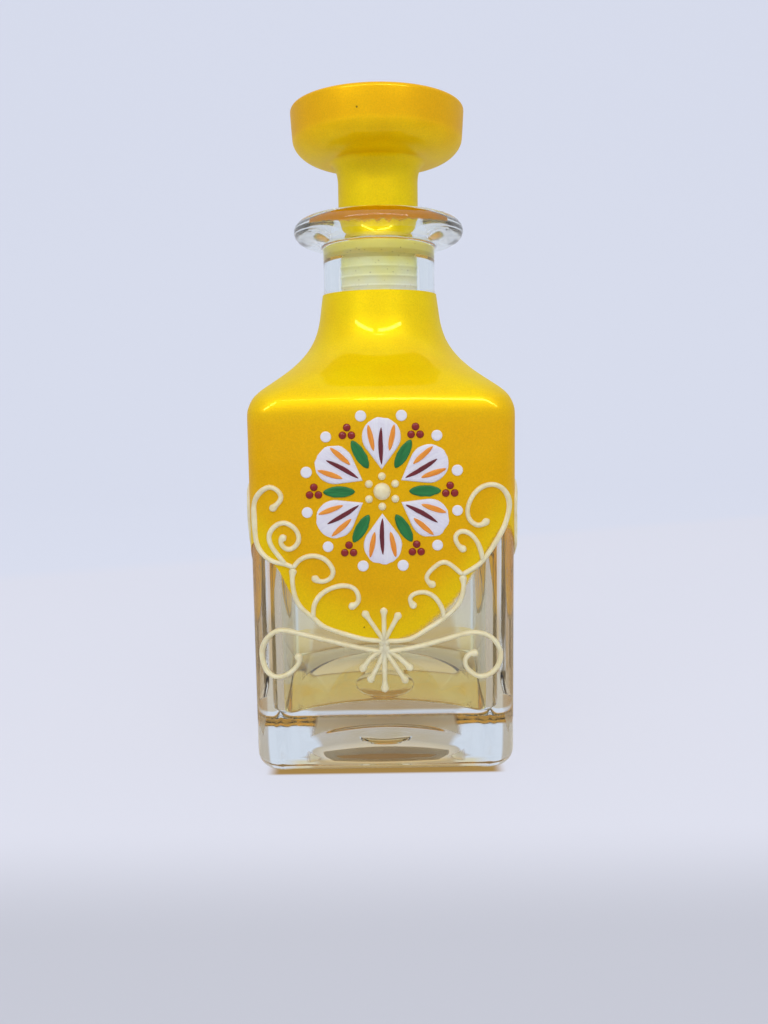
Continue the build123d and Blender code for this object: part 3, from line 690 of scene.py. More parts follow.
def gold_lacquer(colours, name, pale_low, pale_high, edged=False):
    """Pearl gold lacquer, painted paler from one height to another where more light falls, with a painted
    glow on its inner skin. On the bottle it thins out along its edge.
    """
    coat = Finish(name)
    place = coat.place()
    height = coat.axes(place)[2]
    # Painted light: paler from one height to another, where more light falls
    paler = coat.ramp(height, pale_low, pale_high, True)
    inner = coat.attribute("inner_skin")
    gloss = coat.shader("Glossy", {"Color": (1.0, 0.9, 0.14), "Roughness": 0.05})
    if edged:
        light = colours.gold
        above = coat.attribute("above_edge")
        # Paler also just above the lower edge, where the sprayed coat thins
        paler = coat.math("MAXIMUM", paler, coat.ramp(above, 1 * MM, 13 * MM, True, 0.7, 0.0))
        spray = coat.math("SUBTRACT", coat.noise(place, 1500.0, 3.0, 0.7), 0.5)
        reach = coat.math("ADD", coat.math("MULTIPLY", coat.attribute("soft_edge"), 1.8 * MM), 0.4 * MM)
        drift = coat.math("ADD", above, coat.math("MULTIPLY", spray, reach, 0.9))
        alpha = coat.ramp(coat.math("DIVIDE", drift, reach), -0.6, 0.6, True)
        coat.set(Alpha=alpha)
        gloss = coat.mixed(alpha, coat.shader("Transparent"), gloss)
    else:
        # Painted light: brighter gold under the head, standing for light from below
        light = coat.blend(coat.ramp(height, 163.8 * MM, 161.2 * MM, True), colours.gold, colours.lit_bowl_gold)
    pearl = coat.add("Group", {
        "Place": place, "Light": coat.blend(paler, light, colours.lit_and_thin_gold),
        "Deep": coat.blend(paler, colours.deep_gold, colours.lit_and_thin_deep_gold),
        "Grain": 0.11, "Cloud": 0.6, "Specks": 0.9,
    }, node_tree=pearl_group()).outputs
    # The inner skin's emission is a painted glow, standing for light that passes through the thin coat
    coat.set(
        Base_Color=pearl["Color"], Metallic=0.4, Roughness=0.4, Specular_IOR_Level=0.0, Coat_Weight=0.08,
        Coat_Roughness=0.05, Normal=coat.bump(pearl["Height"], 0.25, 0.12 * MM),
        Emission_Color=coat.blend(inner, (0.0, 0.0, 0.0), colours.inner_glow_gold), Emission_Strength=0.4,
    )
    coat.lay_over(0.05, gloss)
    coat.lighten_shadow(colours.gold_shade, 0.3)
    return coat.done()


def soft_sleeve(colours):
    """Hazy natural plastic, dusted with lacquer towards its top."""
    plastic = Finish("Sleeve plastic")
    place = plastic.place()
    height = plastic.ramp(plastic.axes(place)[2], 117 * MM, 134 * MM, True)
    drift = plastic.math("ADD", height, plastic.cloud(place, 160.0, low=-0.25, high=0.25), clamp=True)
    tint = plastic.blend(drift, colours.sleeve, colours.sleeve_dust)
    speck = plastic.math("MULTIPLY", plastic.specks(place, 1500.0, 0.6, 0.24), 0.8)
    plastic.set(
        Base_Color=plastic.blend(speck, tint, colours.sleeve_speck), Roughness=0.6, IOR=1.48,
        Transmission_Weight=0.2, Specular_IOR_Level=0.15, Subsurface_Weight=0.8,
        Subsurface_Radius=(3 * MM, 3 * MM, 2 * MM), Subsurface_Scale=1.0,
        Normal=plastic.bump(plastic.noise(place, 900.0), 0.2, 0.1 * MM),
    )
    plastic.lighten_shadow((0.8, 0.78, 0.68), 0.6)
    return plastic.done()


def relief_paste(colours):
    """Cream contour paste, smooth with a soft shine."""
    paste = Finish("Relief paste")
    place = paste.place()
    paste.set(
        Base_Color=paste.blend(paste.cloud(place, 380.0, 3.0), colours.cream, colours.cream_deep),
        Roughness=0.38, Subsurface_Weight=0.25, Subsurface_Radius=(1.2 * MM, 1 * MM, 0.6 * MM),
        Subsurface_Scale=1.0, Coat_Weight=0.15, Coat_Roughness=0.2,
        Normal=paste.bump(paste.noise(place, 700.0), 0.3, 0.1 * MM),
    )
    return paste.done()


def brushed_paint(name, colour, streak, depth, roughness=0.42):
    """Acrylic paint laid with a brush along each stroke."""
    paint = Finish(name)
    brush = paint.add("Group", {
        "Stroke": paint.attribute("stroke", "Vector"), "Color": colour, "Streak": streak, "Depth": depth,
    }, node_tree=brush_group()).outputs
    paint.set(
        Base_Color=brush["Color"], Roughness=roughness, Normal=paint.bump(brush["Height"], 0.5, 0.08 * MM)
    )
    return paint.done()


def dome(reach, rise, crown):
    """A shallow dome's height at a distance from its middle."""
    radius = (reach**2 + rise**2) / (2 * rise)
    return lambda distance: crown - radius + math.sqrt(radius**2 - distance**2)


def outer_stations(sizes):
    """The bottle's outside, from the mould's ring in the punt to the mouth's rim."""
    half, corner = sizes.body_width / 2, sizes.corner_radius
    neck_foot = sizes.wall_top + sizes.shoulder_rise
    lip_bottom, lip_top = neck_foot + sizes.neck_length, GLASS_HIGH.z
    punt = dome(sizes.punt_radius, sizes.punt_height, sizes.punt_height)
    mark, mark_top = sizes.mark_radius, sizes.punt_height + sizes.mark_depth
    edge, steps = 0.6 * MM, 8
    radii = [mark + (sizes.punt_radius - edge - mark) * step / steps for step in range(1, steps + 1)]
    stations = circles([
        (mark * 0.5, mark_top), (mark - 0.15 * MM, mark_top), (mark, mark_top - 0.1 * MM),
        (mark + 0.05 * MM, punt(mark) + 0.02 * MM), (mark + 0.3 * MM, punt(mark + 0.3 * MM)),
        *((radius, punt(radius)) for radius in radii),
        (sizes.punt_radius - 0.1 * MM, 0.08 * MM), (sizes.punt_radius + edge, 0),
    ])
    heel = sizes.heel_radius
    stations.append((0.0, half - heel - 1.5 * MM, corner - heel + 3 * MM, 0.0))
    stations += [(z, half - heel + r, corner - heel + r, 0.0) for r, z in arc((0, heel), heel, -90, 0, 10)]
    stations += [(z * MM, half, corner, 0.0) for z in (7, 14, 30, 60, 84)]
    stations += shoulder_stations(half, corner, sizes.neck_radius, sizes.wall_top, neck_foot)
    root, crown, rim = sizes.lip_root, sizes.lip_crown, sizes.rim_radius
    squash = (lip_top - lip_bottom) / 2 / crown
    return stations + circles([
        (sizes.neck_radius, neck_foot + 4 * MM),
        *arc((sizes.neck_radius + root, lip_bottom - root), root, 180, 90, 6),
        *arc((sizes.lip_radius - crown, (lip_bottom + lip_top) / 2), crown, -90, 90, 24, squash),
        *arc((sizes.mouth_radius + rim, lip_top - rim), rim, 90, 180, 8),
    ])


def inner_stations(sizes, crest):
    """The mouth, the bore and the cavity, down to a floor that rises to its crest."""
    half, corner = sizes.body_width / 2 - sizes.wall, sizes.cavity_corner
    wall_top = sizes.wall_top - sizes.cavity_drop
    seat_top = GLASS_HIGH.z - sizes.mouth_depth
    seat_bottom = seat_top - (sizes.mouth_radius - sizes.bore_radius)
    stations = circles([
        (sizes.mouth_radius, seat_top + 0.4 * MM), (sizes.mouth_radius - 0.1 * MM, seat_top),
        (sizes.bore_radius + 0.1 * MM, seat_bottom), (sizes.bore_radius, seat_bottom - 0.4 * MM),
    ])
    stations += reversed(
        shoulder_stations(half, corner, sizes.bore_radius, wall_top, wall_top + sizes.shoulder_rise)
    )
    stations += [(z * MM, half, corner, 0.0) for z in (60, 30, 20)]
    floor = dome((half - corner) * math.sqrt(2) + corner, sizes.floor_rise, crest)
    fillet, steps = 1.1 * MM, 12
    for r, z in arc((half - fillet, fillet), fillet, 0, -90, 6):
        stations.append((
            lambda turn, x, y, lift=z: floor(math.hypot(x, y)) + lift, r, corner - (half - r), 0.0
        ))
    for step in range(1, steps):
        inward = step / steps
        width = (half - fillet) * (1 - inward)
        stations.append((
            lambda turn, x, y: floor(math.hypot(x, y)), width, width * (0.16 + 0.84 * inward**0.7),
            SIDE_BOW * inward,
        ))
    return stations


class DECANTER_OT_bottle_glass(bpy.types.Operator):
    """Build the glass bottle with its cavity, domed floor and punt"""
    bl_idname = "decanter.bottle_glass"
    bl_label = "Bottle glass"
    bl_options = {"REGISTER", "UNDO"}

    def execute(self, context):
        sizes, colours = context.scene.decanter_sizes, context.scene.decanter_colours
        crest = sizes.floor_corner + sizes.floor_rise
        bm = skin_stations(
            ring_turns(side_steps=24, corner_steps=20), outer_stations(sizes) + inner_stations(sizes, crest),
            (0, 0, sizes.punt_height + sizes.mark_depth), (0, 0, crest),
        )
        finish_piece(
            bm, "decanter_glass", "bottle", ["bottle_glass"],
            clear_glass(colours, "Clear glass", (0.96, 0.98, 0.97), misted=True),
        )
        return {"FINISHED"}


def edge_height(sizes, turn):
    """Height of the coat's lower edge at a turn, blended from face to face in the corners."""
    half = sizes.body_width / 2
    quarter, share = divmod(turn, 1)
    x, y = section_point(share, half, sizes.corner_radius, 0.0)
    here, after = (
        FRONT_EDGE_SHARES if face % 4 == FACES["front"] else SIDE_EDGE_SHARES
        for face in (int(quarter), int(quarter) + 1)
    )
    up = table_value(here, y / half)
    if share >= 0.5:
        blend = 2 * share - 1
        blend *= blend * (3 - 2 * blend)
        up += blend * (table_value(after, -x / half) - up)
    angle = turn * math.pi / 2
    wave = noise.noise(Vector((math.cos(angle), math.sin(angle), 4.2)) * 6)
    return sizes.swag_low + up * half + 0.35 * MM * wave


class DECANTER_OT_bottle_lacquer(bpy.types.Operator):
    """Build the gold coat on the shoulder and walls, with its hanging lower edge"""
    bl_idname = "decanter.bottle_lacquer"
    bl_label = "Bottle lacquer"
    bl_options = {"REGISTER", "UNDO"}

    def execute(self, context):
        sizes, colours = context.scene.decanter_sizes, context.scene.decanter_colours
        turns = ring_turns(side_steps=32, corner_steps=16)
        half = sizes.body_width / 2
        edge = {turn: edge_height(sizes, turn) for turn in turns}
        margin, level = 1.4 * MM, 68 * MM

        def wall_height(turn, share):
            """From the faded margin below the edge up to where the rings lie level."""
            low = edge[turn] - margin
            return low + share * (level - low)

        def skin(offset):
            width, corner = half + offset, sizes.corner_radius + offset
            wall = [
                (lambda turn, x, y, share=share: wall_height(turn, share), width, corner, 0.0)
                for share in (0, 0.06, 0.14, 0.25, 0.4, 0.6, 0.8, 1)
            ]
            wall_top = sizes.wall_top + offset / 2
            shoulder = shoulder_stations(
                width, corner, sizes.neck_radius + offset, wall_top, wall_top + sizes.shoulder_rise
            )
            top = COAT_TOP - (0 if offset > 0 else sizes.coat)
            return wall + [(78 * MM, width, corner, 0.0)] + stations_below(shoulder, top)

        outside, inside = skin(sizes.coat), skin(-sizes.coat_bite)
        bm = skin_stations(turns, outside + inside[::-1])
        mark_inner_skin(bm, len(turns) * len(outside))
        place = bm.verts.layers.int["place"]
        above = bm.verts.layers.float.new("above_edge")
        soft = bm.verts.layers.float.new("soft_edge")
        for vert in bm.verts:
            vert[above] = vert.co.z - edge[turns[vert[place]]]
            on_front = vert.co.y < -0.7 * half
            vert[soft] = min(max((vert.co.x / half - 0.05) / 0.25, 0.0), 1.0) if on_front else 0.25
        finish_piece(
            bm, "decanter_lacquer", "bottle", ["bottle_lacquer"],
            # Painted light: paler on the shoulder from 86 mm to 100 mm, where light from above falls
            gold_lacquer(colours, "Bottle lacquer", 86 * MM, 100 * MM, edged=True),
        )
        return {"FINISHED"}


STOPPER_TURNS = ring_turns(side_steps=16, corner_steps=16)


def stopper_profile(sizes, skin):
    """Head and shank of the stopper from the top's rim down, as (radius, height)."""
    shank = sizes.shank_radius + skin
    flare_reach, flare_height = sizes.flare_reach - skin, sizes.flare_height - skin
    side_bottom = HEAD_TOP - sizes.head_side
    underside = side_bottom - sizes.head_underside - skin
    waist = sizes.head_radius - sizes.head_taper + skin
    rounding = sizes.head_edge + skin
    bowl = waist - shank - flare_reach
    return [
        *arc((sizes.head_radius + skin - rounding, HEAD_TOP - sizes.head_edge), rounding, 90, 0, 8),
        (waist + 0.2 * MM, side_bottom + 3 * MM),
        *arc((shank + flare_reach, side_bottom), bowl, 0, -90, 20, (side_bottom - underside) / bowl),
        *arc(
            (shank + flare_reach, underside - flare_height), flare_reach, 90, 180, 12,
            flare_height / flare_reach,
        )[1:],
    ]


class DECANTER_OT_stopper_glass(bpy.types.Operator):
    """Build the glass stopper with its plug"""
    bl_idname = "decanter.stopper_glass"
    bl_label = "Stopper glass"
    bl_options = {"REGISTER", "UNDO"}

    def execute(self, context):
        sizes, colours = context.scene.decanter_sizes, context.scene.decanter_colours
        shank, bottom = sizes.shank_radius, sizes.shank_bottom
        plug, end = sizes.plug_radius, sizes.plug_end
        places = [
            (HEAD_RING, HEAD_TOP), *stopper_profile(sizes, 0.0),
            (shank, bottom + 0.3 * MM), (shank - 0.3 * MM, bottom), (plug, bottom), (plug, bottom - 0.5 * MM),
            *arc((plug - end, PLUG_LOW + end), end, 0, -90, 8),
        ]
        bm = skin_stations(STOPPER_TURNS, circles(places), (0, 0, HEAD_TOP), (0, 0, PLUG_LOW))
        finish_piece(
            bm, "decanter_stopper", "stopper", ["stopper_glass"],
            clear_glass(colours, "Stopper glass", (0.97, 0.98, 0.97), misted=False),
        )
        return {"FINISHED"}


class DECANTER_OT_stopper_lacquer(bpy.types.Operator):
    """Build the gold coat on the stopper's head and shank"""
    bl_idname = "decanter.stopper_lacquer"
    bl_label = "Stopper lacquer"
    bl_options = {"REGISTER", "UNDO"}

    def execute(self, context):
        sizes, colours = context.scene.decanter_sizes, context.scene.decanter_colours

        def skin(offset):
            return circles([
                (HEAD_RING, HEAD_TOP + offset), *stopper_profile(sizes, offset),
                (sizes.shank_radius + offset, sizes.shank_bottom + 0.02 * MM),
            ])

        outside, inside = skin(sizes.coat), skin(-sizes.coat_bite)
        bm = skin_stations(
            STOPPER_TURNS, outside + inside[::-1], (0, 0, HEAD_TOP + sizes.coat),
            (0, 0, HEAD_TOP - sizes.coat_bite),
        )
        mark_inner_skin(bm, 1 + len(STOPPER_TURNS) * len(outside))
        finish_piece(
            bm, "decanter_stopper_lacquer", "stopper", ["stopper_lacquer"],
            # Painted light: paler from 163 mm down to 153 mm, on the lower head and the shank
            gold_lacquer(colours, "Stopper lacquer", 163 * MM, 153 * MM),
        )
        return {"FINISHED"}


class DECANTER_OT_stopper_sleeve(bpy.types.Operator):
    """Build the ribbed soft sleeve on the stopper's plug"""
    bl_idname = "decanter.stopper_sleeve"
    bl_label = "Stopper sleeve"
    bl_options = {"REGISTER", "UNDO"}

    def execute(self, context):
        sizes, colours = context.scene.decanter_sizes, context.scene.decanter_colours
        bore, outside, ribbed = sizes.sleeve_inside, sizes.sleeve_outside, sizes.rib_outside
        wide, flange_low = sizes.flange_outside, sizes.flange_bottom
        slope_low = flange_low - (wide - ribbed)
        rib_count, rib_height, steps = 4, 1 * MM, 6
        pitch = (slope_low - SLEEVE_LOW) / (rib_count + 1)
        places = [
            (bore, FLANGE_TOP), (bore, SLEEVE_LOW), (outside - 0.3 * MM, SLEEVE_LOW),
            (outside, SLEEVE_LOW + 0.3 * MM),
        ]
        for rib in range(1, rib_count + 1):
            for step in range(steps + 1):
                share = step / steps
                swell = math.sin(math.pi * share) ** 1.6 * (ribbed - outside)
                places.append((outside + swell, SLEEVE_LOW + rib * pitch + (share - 0.5) * rib_height))
        corner = 0.5 * MM
        places += [
            (outside, slope_low - 0.2 * MM), (ribbed, slope_low), (wide - 0.1 * MM, flange_low - 0.1 * MM),
            (wide, flange_low + 0.1 * MM), *arc((wide - corner, FLANGE_TOP - corner), corner, 0, 90, 5),
        ]
        finish_piece(
            skin_stations(STOPPER_TURNS, circles(places)), "decanter_sleeve", "sleeve",
            ["stopper_sleeve"], soft_sleeve(colours),
        )
        return {"FINISHED"}


def face_place(quarter, across, height, lift, sizes):
    """A point on a face, over its flat and round its corner, lifted off the glass."""
    half, corner = sizes.body_width / 2, sizes.corner_radius
    flat = half - corner
    beyond = max(abs(across) - flat, 0.0)
    angle = math.asin(min(beyond / corner, 0.999))
    side = math.copysign(1.0, across)
    out = (half if not beyond else flat + corner * math.cos(angle)) + lift * math.cos(angle)
    along = across + side * lift * math.sin(angle)
    x, y = ((out, along), (-along, out), (-out, -along), (along, -out))[quarter]
    return Vector((x, y, height))


def stroke_path(shares, spread, half, low, step, fine_steps=24, passes=14):
    """Evenly spaced points across and up along a smooth stroke."""
    rows = [(spread * across * half, low + up * half) for across, up in shares]
    fine_count = (len(rows) - 1) * fine_steps + 1
    fine = [smooth_row(rows, place / fine_steps) for place in range(fine_count)]
    lengths = [0.0]
    for first, second in zip(fine, fine[1:]):
        lengths.append(lengths[-1] + math.dist(first, second))
    count = max(round(lengths[-1] / step), 4)
    path, index = [], 0
    for number in range(count + 1):
        target = lengths[-1] * number / count
        while index < len(fine) - 2 and lengths[index + 1] < target:
            index += 1
        span = lengths[index + 1] - lengths[index]
        share = (target - lengths[index]) / span if span else 0.0
        path.append(tuple(a + (b - a) * share for a, b in zip(fine[index], fine[index + 1])))
    for _ in range(passes):
        path = path[:1] + [
            tuple((a + 2 * b + c) / 4 for a, b, c in zip(*three)) for three in zip(path, path[1:], path[2:])
        ] + path[-1:]
    return path, lengths[-1]


def bead_stations(shares, quarter, spread, seed, sizes, relief):
    """A piped bead's point, direction, half width and height along a stroke."""
    half = sizes.body_width / 2
    path, length = stroke_path(shares, spread, half, sizes.swag_low, 0.3 * MM)
    body, bulb = relief.bead_width / 2, relief.bulb_radius
    stations = []
    for number, point in enumerate(path):
        before, after = path[max(number - 1, 0)], path[min(number + 1, len(path) - 1)]
        run = Vector((after[0] - before[0], after[1] - before[1])).normalized()
        along = length * number / (len(path) - 1)
        swell = noise.noise(Vector((along * 260, seed * 3.7, quarter * 1.9)))
        radius = body * (1 + 0.1 * swell)
        radius += (bulb - body) * math.exp(-(((length - along - 0.9 * bulb) / (0.9 * bulb)) ** 2))
        from_tip = min(0.25 + along / body, (length - along) / bulb)
        if from_tip < 1:
            radius *= math.sqrt(max(1 - (1 - from_tip) ** 2, 0.02))
        tall = relief.bead_height * min(radius / body, 1.0) * (0.93 + 0.07 * swell)
        stations.append((point, run, radius, tall))
    return stations


def pipe_stroke(shares, quarter, spread, seed, sizes, relief):
    """One piped bead along a stroke, round at its start and with a bulb at its end."""
    bm = bmesh.new()
    segments = 12
    stations = bead_stations(shares, quarter, spread, seed, sizes, relief)
    ring, first, _ = numbered_circle(bm, segments)
    place = bm.verts.layers.int["place"]
    edges = first
    for number, ((across, up), run, radius, tall) in enumerate(stations):
        if number:
            ring, edges = extruded(bm, edges)
        for vert in ring:
            angle = math.tau * vert[place] / segments
            sideways = radius * math.cos(angle)
            rounded = math.sin(angle) > 0.01
            lift = PASTE_BITE + tall * math.sin(angle) ** 0.85 if rounded else -PASTE_BITE
            vert.co = face_place(quarter, across - run.y * sideways, up + run.x * sideways, lift, sizes)
    for loop, ((across, up), _, _, tall) in ((first, stations[0]), (edges, stations[-1])):
        close_in_point(bm, loop, face_place(quarter, across, up, tall * 0.4, sizes))
    return bm


def joined(parts):
    """Several meshes as one."""
    whole = bmesh.new()
    for part in parts:
        mesh = bpy.data.meshes.new("part")
        part.to_mesh(mesh)
        part.free()
        whole.from_mesh(mesh)
        bpy.data.meshes.remove(mesh)
    return whole


def paste_knot(quarter, across, up, radius, height, sizes):
    """A rounded dab of paste where strokes meet."""
    bm = bmesh.new()
    bmesh.ops.create_uvsphere(bm, u_segments=20, v_segments=12, radius=1.0)
    for vert in bm.verts:
        lift = (height if vert.co.z > 0 else PASTE_BITE) * vert.co.z
        vert.co = face_place(quarter, across + radius * vert.co.x, up + radius * vert.co.y, lift, sizes)
    return bm


class DECANTER_OT_piped_relief(bpy.types.Operator):
    """Pipe swags and scrolls on all four faces, and the base scrolls and fan on the front"""
    bl_idname = "decanter.piped_relief"
    bl_label = "Piped relief"
    bl_options = {"REGISTER", "UNDO"}

    def execute(self, context):
        sizes, colours = context.scene.decanter_sizes, context.scene.decanter_colours
        relief = context.scene.decanter_relief
        paste = relief_paste(colours)
        for face, quarter in FACES.items():
            spread = 1.0 if face == "front" else relief.side_share
            for name, strokes in STROKE_SHARES.items():
                if face != "front" and name in FRONT_ONLY:
                    continue
                parts = [
                    pipe_stroke(shares, quarter, spread, seed, sizes, relief)
                    for seed, shares in enumerate(strokes)
                ]
                if name == "fan":
                    parts += [
                        paste_knot(
                            quarter, 0, sizes.swag_low - drop, relief.knot_radius, relief.bead_height, sizes
                        )
                        for drop in (0.2 * MM, 2.2 * MM)
                    ]
                finish_piece(
                    joined(parts), f"piped_{face}_{name}", "bottle", [f"{face}_{name}"],
                    paste, crease=75.0,
                )
        return {"FINISHED"}


def paint_patch(outline, turn, profile, base, seed, rosette_height, depth):
    """A patch of paint on the front: rings of a turned outline, drawn in towards its middle."""
    cos, sin = math.cos(turn), math.sin(turn)
    outline = [Vector((x * cos - y * sin, x * sin + y * cos)) for x, y in outline]
    middle = sum(outline, Vector((0, 0))) / len(outline)

    def spot(point, height):
        return point[0], -(depth + base + height), rosette_height + point[1]

    bm = bmesh.new()
    ring, edges, centre = numbered_circle(bm, len(outline), True)
    place = bm.verts.layers.int["place"]
    centre.co = spot(middle, profile[0][1])
    for number, (share, height) in enumerate(profile):
        if number:
            ring, edges = extruded(bm, edges)
        for vert in ring:
            vert.co = spot(middle.lerp(outline[vert[place]], share), height)
    close_in_point(bm, edges, spot(middle, profile[-1][1]))
    stroke = bm.verts.layers.float_vector.new("stroke")
    for vert in bm.verts:
        x, z = vert.co.x, vert.co.z - rosette_height
        vert[stroke] = (z * cos - x * sin, x * cos + z * sin, seed * 0.37)
    return bm


def petal_outline(root, length, tip, seed, count=48):
    """A round-tipped drop along +X with a hand's slight waver."""
    middle = root + length - tip
    lean = math.asin(tip / (middle - root))
    reach, spread = middle - root - tip * math.sin(lean), tip * math.cos(lean)
    outline = []
    for step in range(count):
        share = step / count
        if share < 0.25:
            point = (root + 4 * share * reach, -4 * share * spread)
        elif share < 0.75:
            angle = -math.pi / 2 - lean + (2 * share - 0.5) * (math.pi + 2 * lean)
            point = (middle + tip * math.cos(angle), tip * math.sin(angle))
        else:
            point = (root + 4 * (1 - share) * reach, 4 * (1 - share) * spread)
        waver = 1 + 0.03 * noise.noise(Vector((point[0] * 600, point[1] * 600, seed)))
        outline.append((root + (point[0] - root) * waver, point[1] * waver))
    return outline


def blade_outline(start, length, width, seed, count=32, curl=0.0):
    """A pointed oval along +X, as one brush stroke leaves it."""
    outline = []
    for step in range(count):
        angle = math.tau * step / count
        along = start + length / 2 * (1 - math.cos(angle))
        side = -width / 2 * math.sin(angle) * abs(math.sin(angle)) ** 0.25
        bend = curl * math.sin(math.pi * (along - start) / length)
        side *= 1 + 0.12 * noise.noise(Vector((along * 900, side * 900, seed)))
        outline.append((along, side + bend))
    return outline


def ring_places(count, distance, start=0.0):
    """Points spaced evenly round a middle."""
    angles = [start + math.tau * number / count for number in range(count)]
    return [(distance * math.cos(angle), distance * math.sin(angle)) for angle in angles]


def round_outline(radius, across, up, count=24):
    return [(across + x, up + y) for x, y in ring_places(count, radius)]


def flat(height):
    """Profile of a brushed patch: how far out each ring lies, and how high, down into the coat."""
    return [(0.4, 0.92 * height), (0.75, height), (0.93, 0.9 * height), (1.0, 0.35 * height), PAINT_FOOT]


def domed(height):
    """Profile of a raised dab."""
    crown = [(share, height * math.sqrt(1 - 0.98 * share**2)) for share in (0.25, 0.5, 0.75, 0.92)]
    return [*crown, (1.0, 0.12 * height), PAINT_FOOT]


class DECANTER_OT_rosette(bpy.types.Operator):
    """Paint the rosette on the front"""
    bl_idname = "decanter.rosette"
    bl_label = "Painted rosette"
    bl_options = {"REGISTER", "UNDO"}

    def execute(self, context):
        sizes, colours = context.scene.decanter_sizes, context.scene.decanter_colours
        relief = context.scene.decanter_relief
        top, count = math.pi / 2, 6
        between = math.pi / count
        turns = [top + math.tau * index / count for index in range(count)]
        thick, thin = relief.petal_thickness, relief.stroke_thickness
        root, tip = relief.petal_root, relief.petal_tip
        white = brushed_paint("White paint", colours.petal, colours.petal_streak, 0.5)
        dot_white = brushed_paint("Dot paint", colours.petal, colours.dot_streak, 0.2, 0.35)
        maroon = brushed_paint("Maroon paint", colours.maroon, colours.maroon_streak, 0.6)
        orange = brushed_paint("Orange paint", colours.orange, colours.orange_streak, 0.6)
        green = brushed_paint("Green paint", colours.leaf, colours.leaf_streak, 0.5)
        red = brushed_paint("Red paint", colours.berry, colours.berry_streak, 0.4, 0.22)
        cream = relief_paste(colours)

        def dot_radius(index):
            return relief.dot_radius * (1 + 0.05 * noise.noise(Vector((index, 0.5, 0.5))))

        # Each piece's patches: outline, turn, profile and height of what lies under the patch
        pieces = {
            "rosette_petals": ("white_paint", white, [
                (petal_outline(root, relief.petal_length, tip, index), turn, flat(thick), 0.0)
                for index, turn in enumerate(turns)
            ]),
            "rosette_veins": ("maroon_paint", maroon, [
                (blade_outline(root + tip / 4, 9 * MM, 1.1 * MM, index, curl=0.2 * MM * (-1) ** index), turn,
                 flat(thin), thick)
                for index, turn in enumerate(turns)
            ]),
            "rosette_blushes": ("orange_paint", orange, [
                (blade_outline(root + tip, 6.4 * MM, 1.3 * MM, index + side), turn + side * math.radians(11),
                 flat(thin), thick)
                for index, turn in enumerate(turns) for side in (-1, 1)
            ]),
            "rosette_leaves": ("green_paint", green, [
                (blade_outline(root + tip / 4, 7.8 * MM, 2.8 * MM, index, 40), turn + between,
                 flat(thick), 0.0)
                for index, turn in enumerate(turns)
            ]),
            "rosette_berries": ("red_paint", red, [
                (round_outline(relief.berry_radius, across + x, up + y), 0.0, domed(0.6 * MM), 0.0)
                for across, up in ring_places(count, relief.berry_ring, top + between)
                for x, y in ring_places(3, 1.25 * MM, top)
            ]),
            "rosette_dots": ("white_paint", dot_white, [
                (round_outline(dot_radius(index), across, up), 0.0, flat(0.3 * MM), 0.0)
                for index, (across, up) in enumerate(
                    ring_places(2 * count, relief.dot_ring, top + between / 2)
                )
            ]),
            "rosette_beads": ("cream_relief", cream, [
                (round_outline(relief.centre_radius, 0, 0, 32), 0.0, domed(1.5 * MM), 0.0)] + [
                (round_outline(relief.berry_radius, across, up), 0.0, domed(0.8 * MM), 0.0)
                for across, up in ring_places(count, relief.bead_ring, top)
            ]),
        }
        for node, (slot, material, patches) in pieces.items():
            bm = joined([
                paint_patch(*patch, seed, relief.rosette_height, sizes.body_width / 2 + sizes.coat)
                for seed, patch in enumerate(patches)
            ])
            name = node.replace("rosette", "painted")
            finish_piece(bm, name, "bottle", [node], material, crease=60.0)
        return {"FINISHED"}


def paper_finish(colours):
    """White paper, evenly lit where it is seen, with painted amber light under the bottle, a painted tan
    shadow behind it that only the glass shows, and painted shade near the camera.
    """
    paper = Finish("Paper")
    place = paper.place()
    x, y, z = paper.axes(place)
    tint = paper.blend(
        paper.cloud(place, 6.0), colours.paper, tuple(value * 0.985 for value in colours.paper)
    )
    under = paper.math(
        "MULTIPLY", paper.ramp(paper.math("ABSOLUTE", x), 31 * MM, 27 * MM, True),
        paper.ramp(z, 2 * MM, 1 * MM), paper.ramp(y, -33 * MM, -31.8 * MM),
    )
    through = paper.add("LightPath").outputs["Is Transmission Ray"]
    # Painted shadow: the bottle's amber shadow behind it, shown only through the glass
    behind = paper.math("MULTIPLY", under, paper.ramp(y, 190 * MM, 130 * MM, True), through)
    # Painted light: the amber light that falls through the lacquered bottle onto the paper under it
    amber = paper.math("MULTIPLY", under, paper.ramp(y, 46 * MM, 34 * MM, True))
    slant = paper.math("SUBTRACT", y, paper.math("MULTIPLY", x, 0.41))
    seen = paper.blend(paper.ramp(slant, 345 * MM, 300 * MM, True), colours.seen_backdrop, colours.seen_paper)
    # Painted shade: darker paper near the camera
    seen = paper.blend(paper.ramp(y, -60 * MM, -105 * MM, True), seen, colours.seen_front_shade)
    seen = paper.blend(behind, seen, colours.seen_behind_shadow)
    seen = paper.blend(amber, seen, colours.seen_amber_light)
    # The paper's own colour takes the painted amber light too
    paper.set(
        Base_Color=paper.blend(paper.math("MULTIPLY", amber, 0.8), tint, colours.paper_amber_light),
        Roughness=0.9, Specular_IOR_Level=0.2,
    )
    pale = paper.add("Emission", {"Color": seen, "Strength": 1.0}).outputs[0]
    paper.lay_over(paper.math("MULTIPLY", paper.background_rays(), 0.8), pale)
    return paper.done()


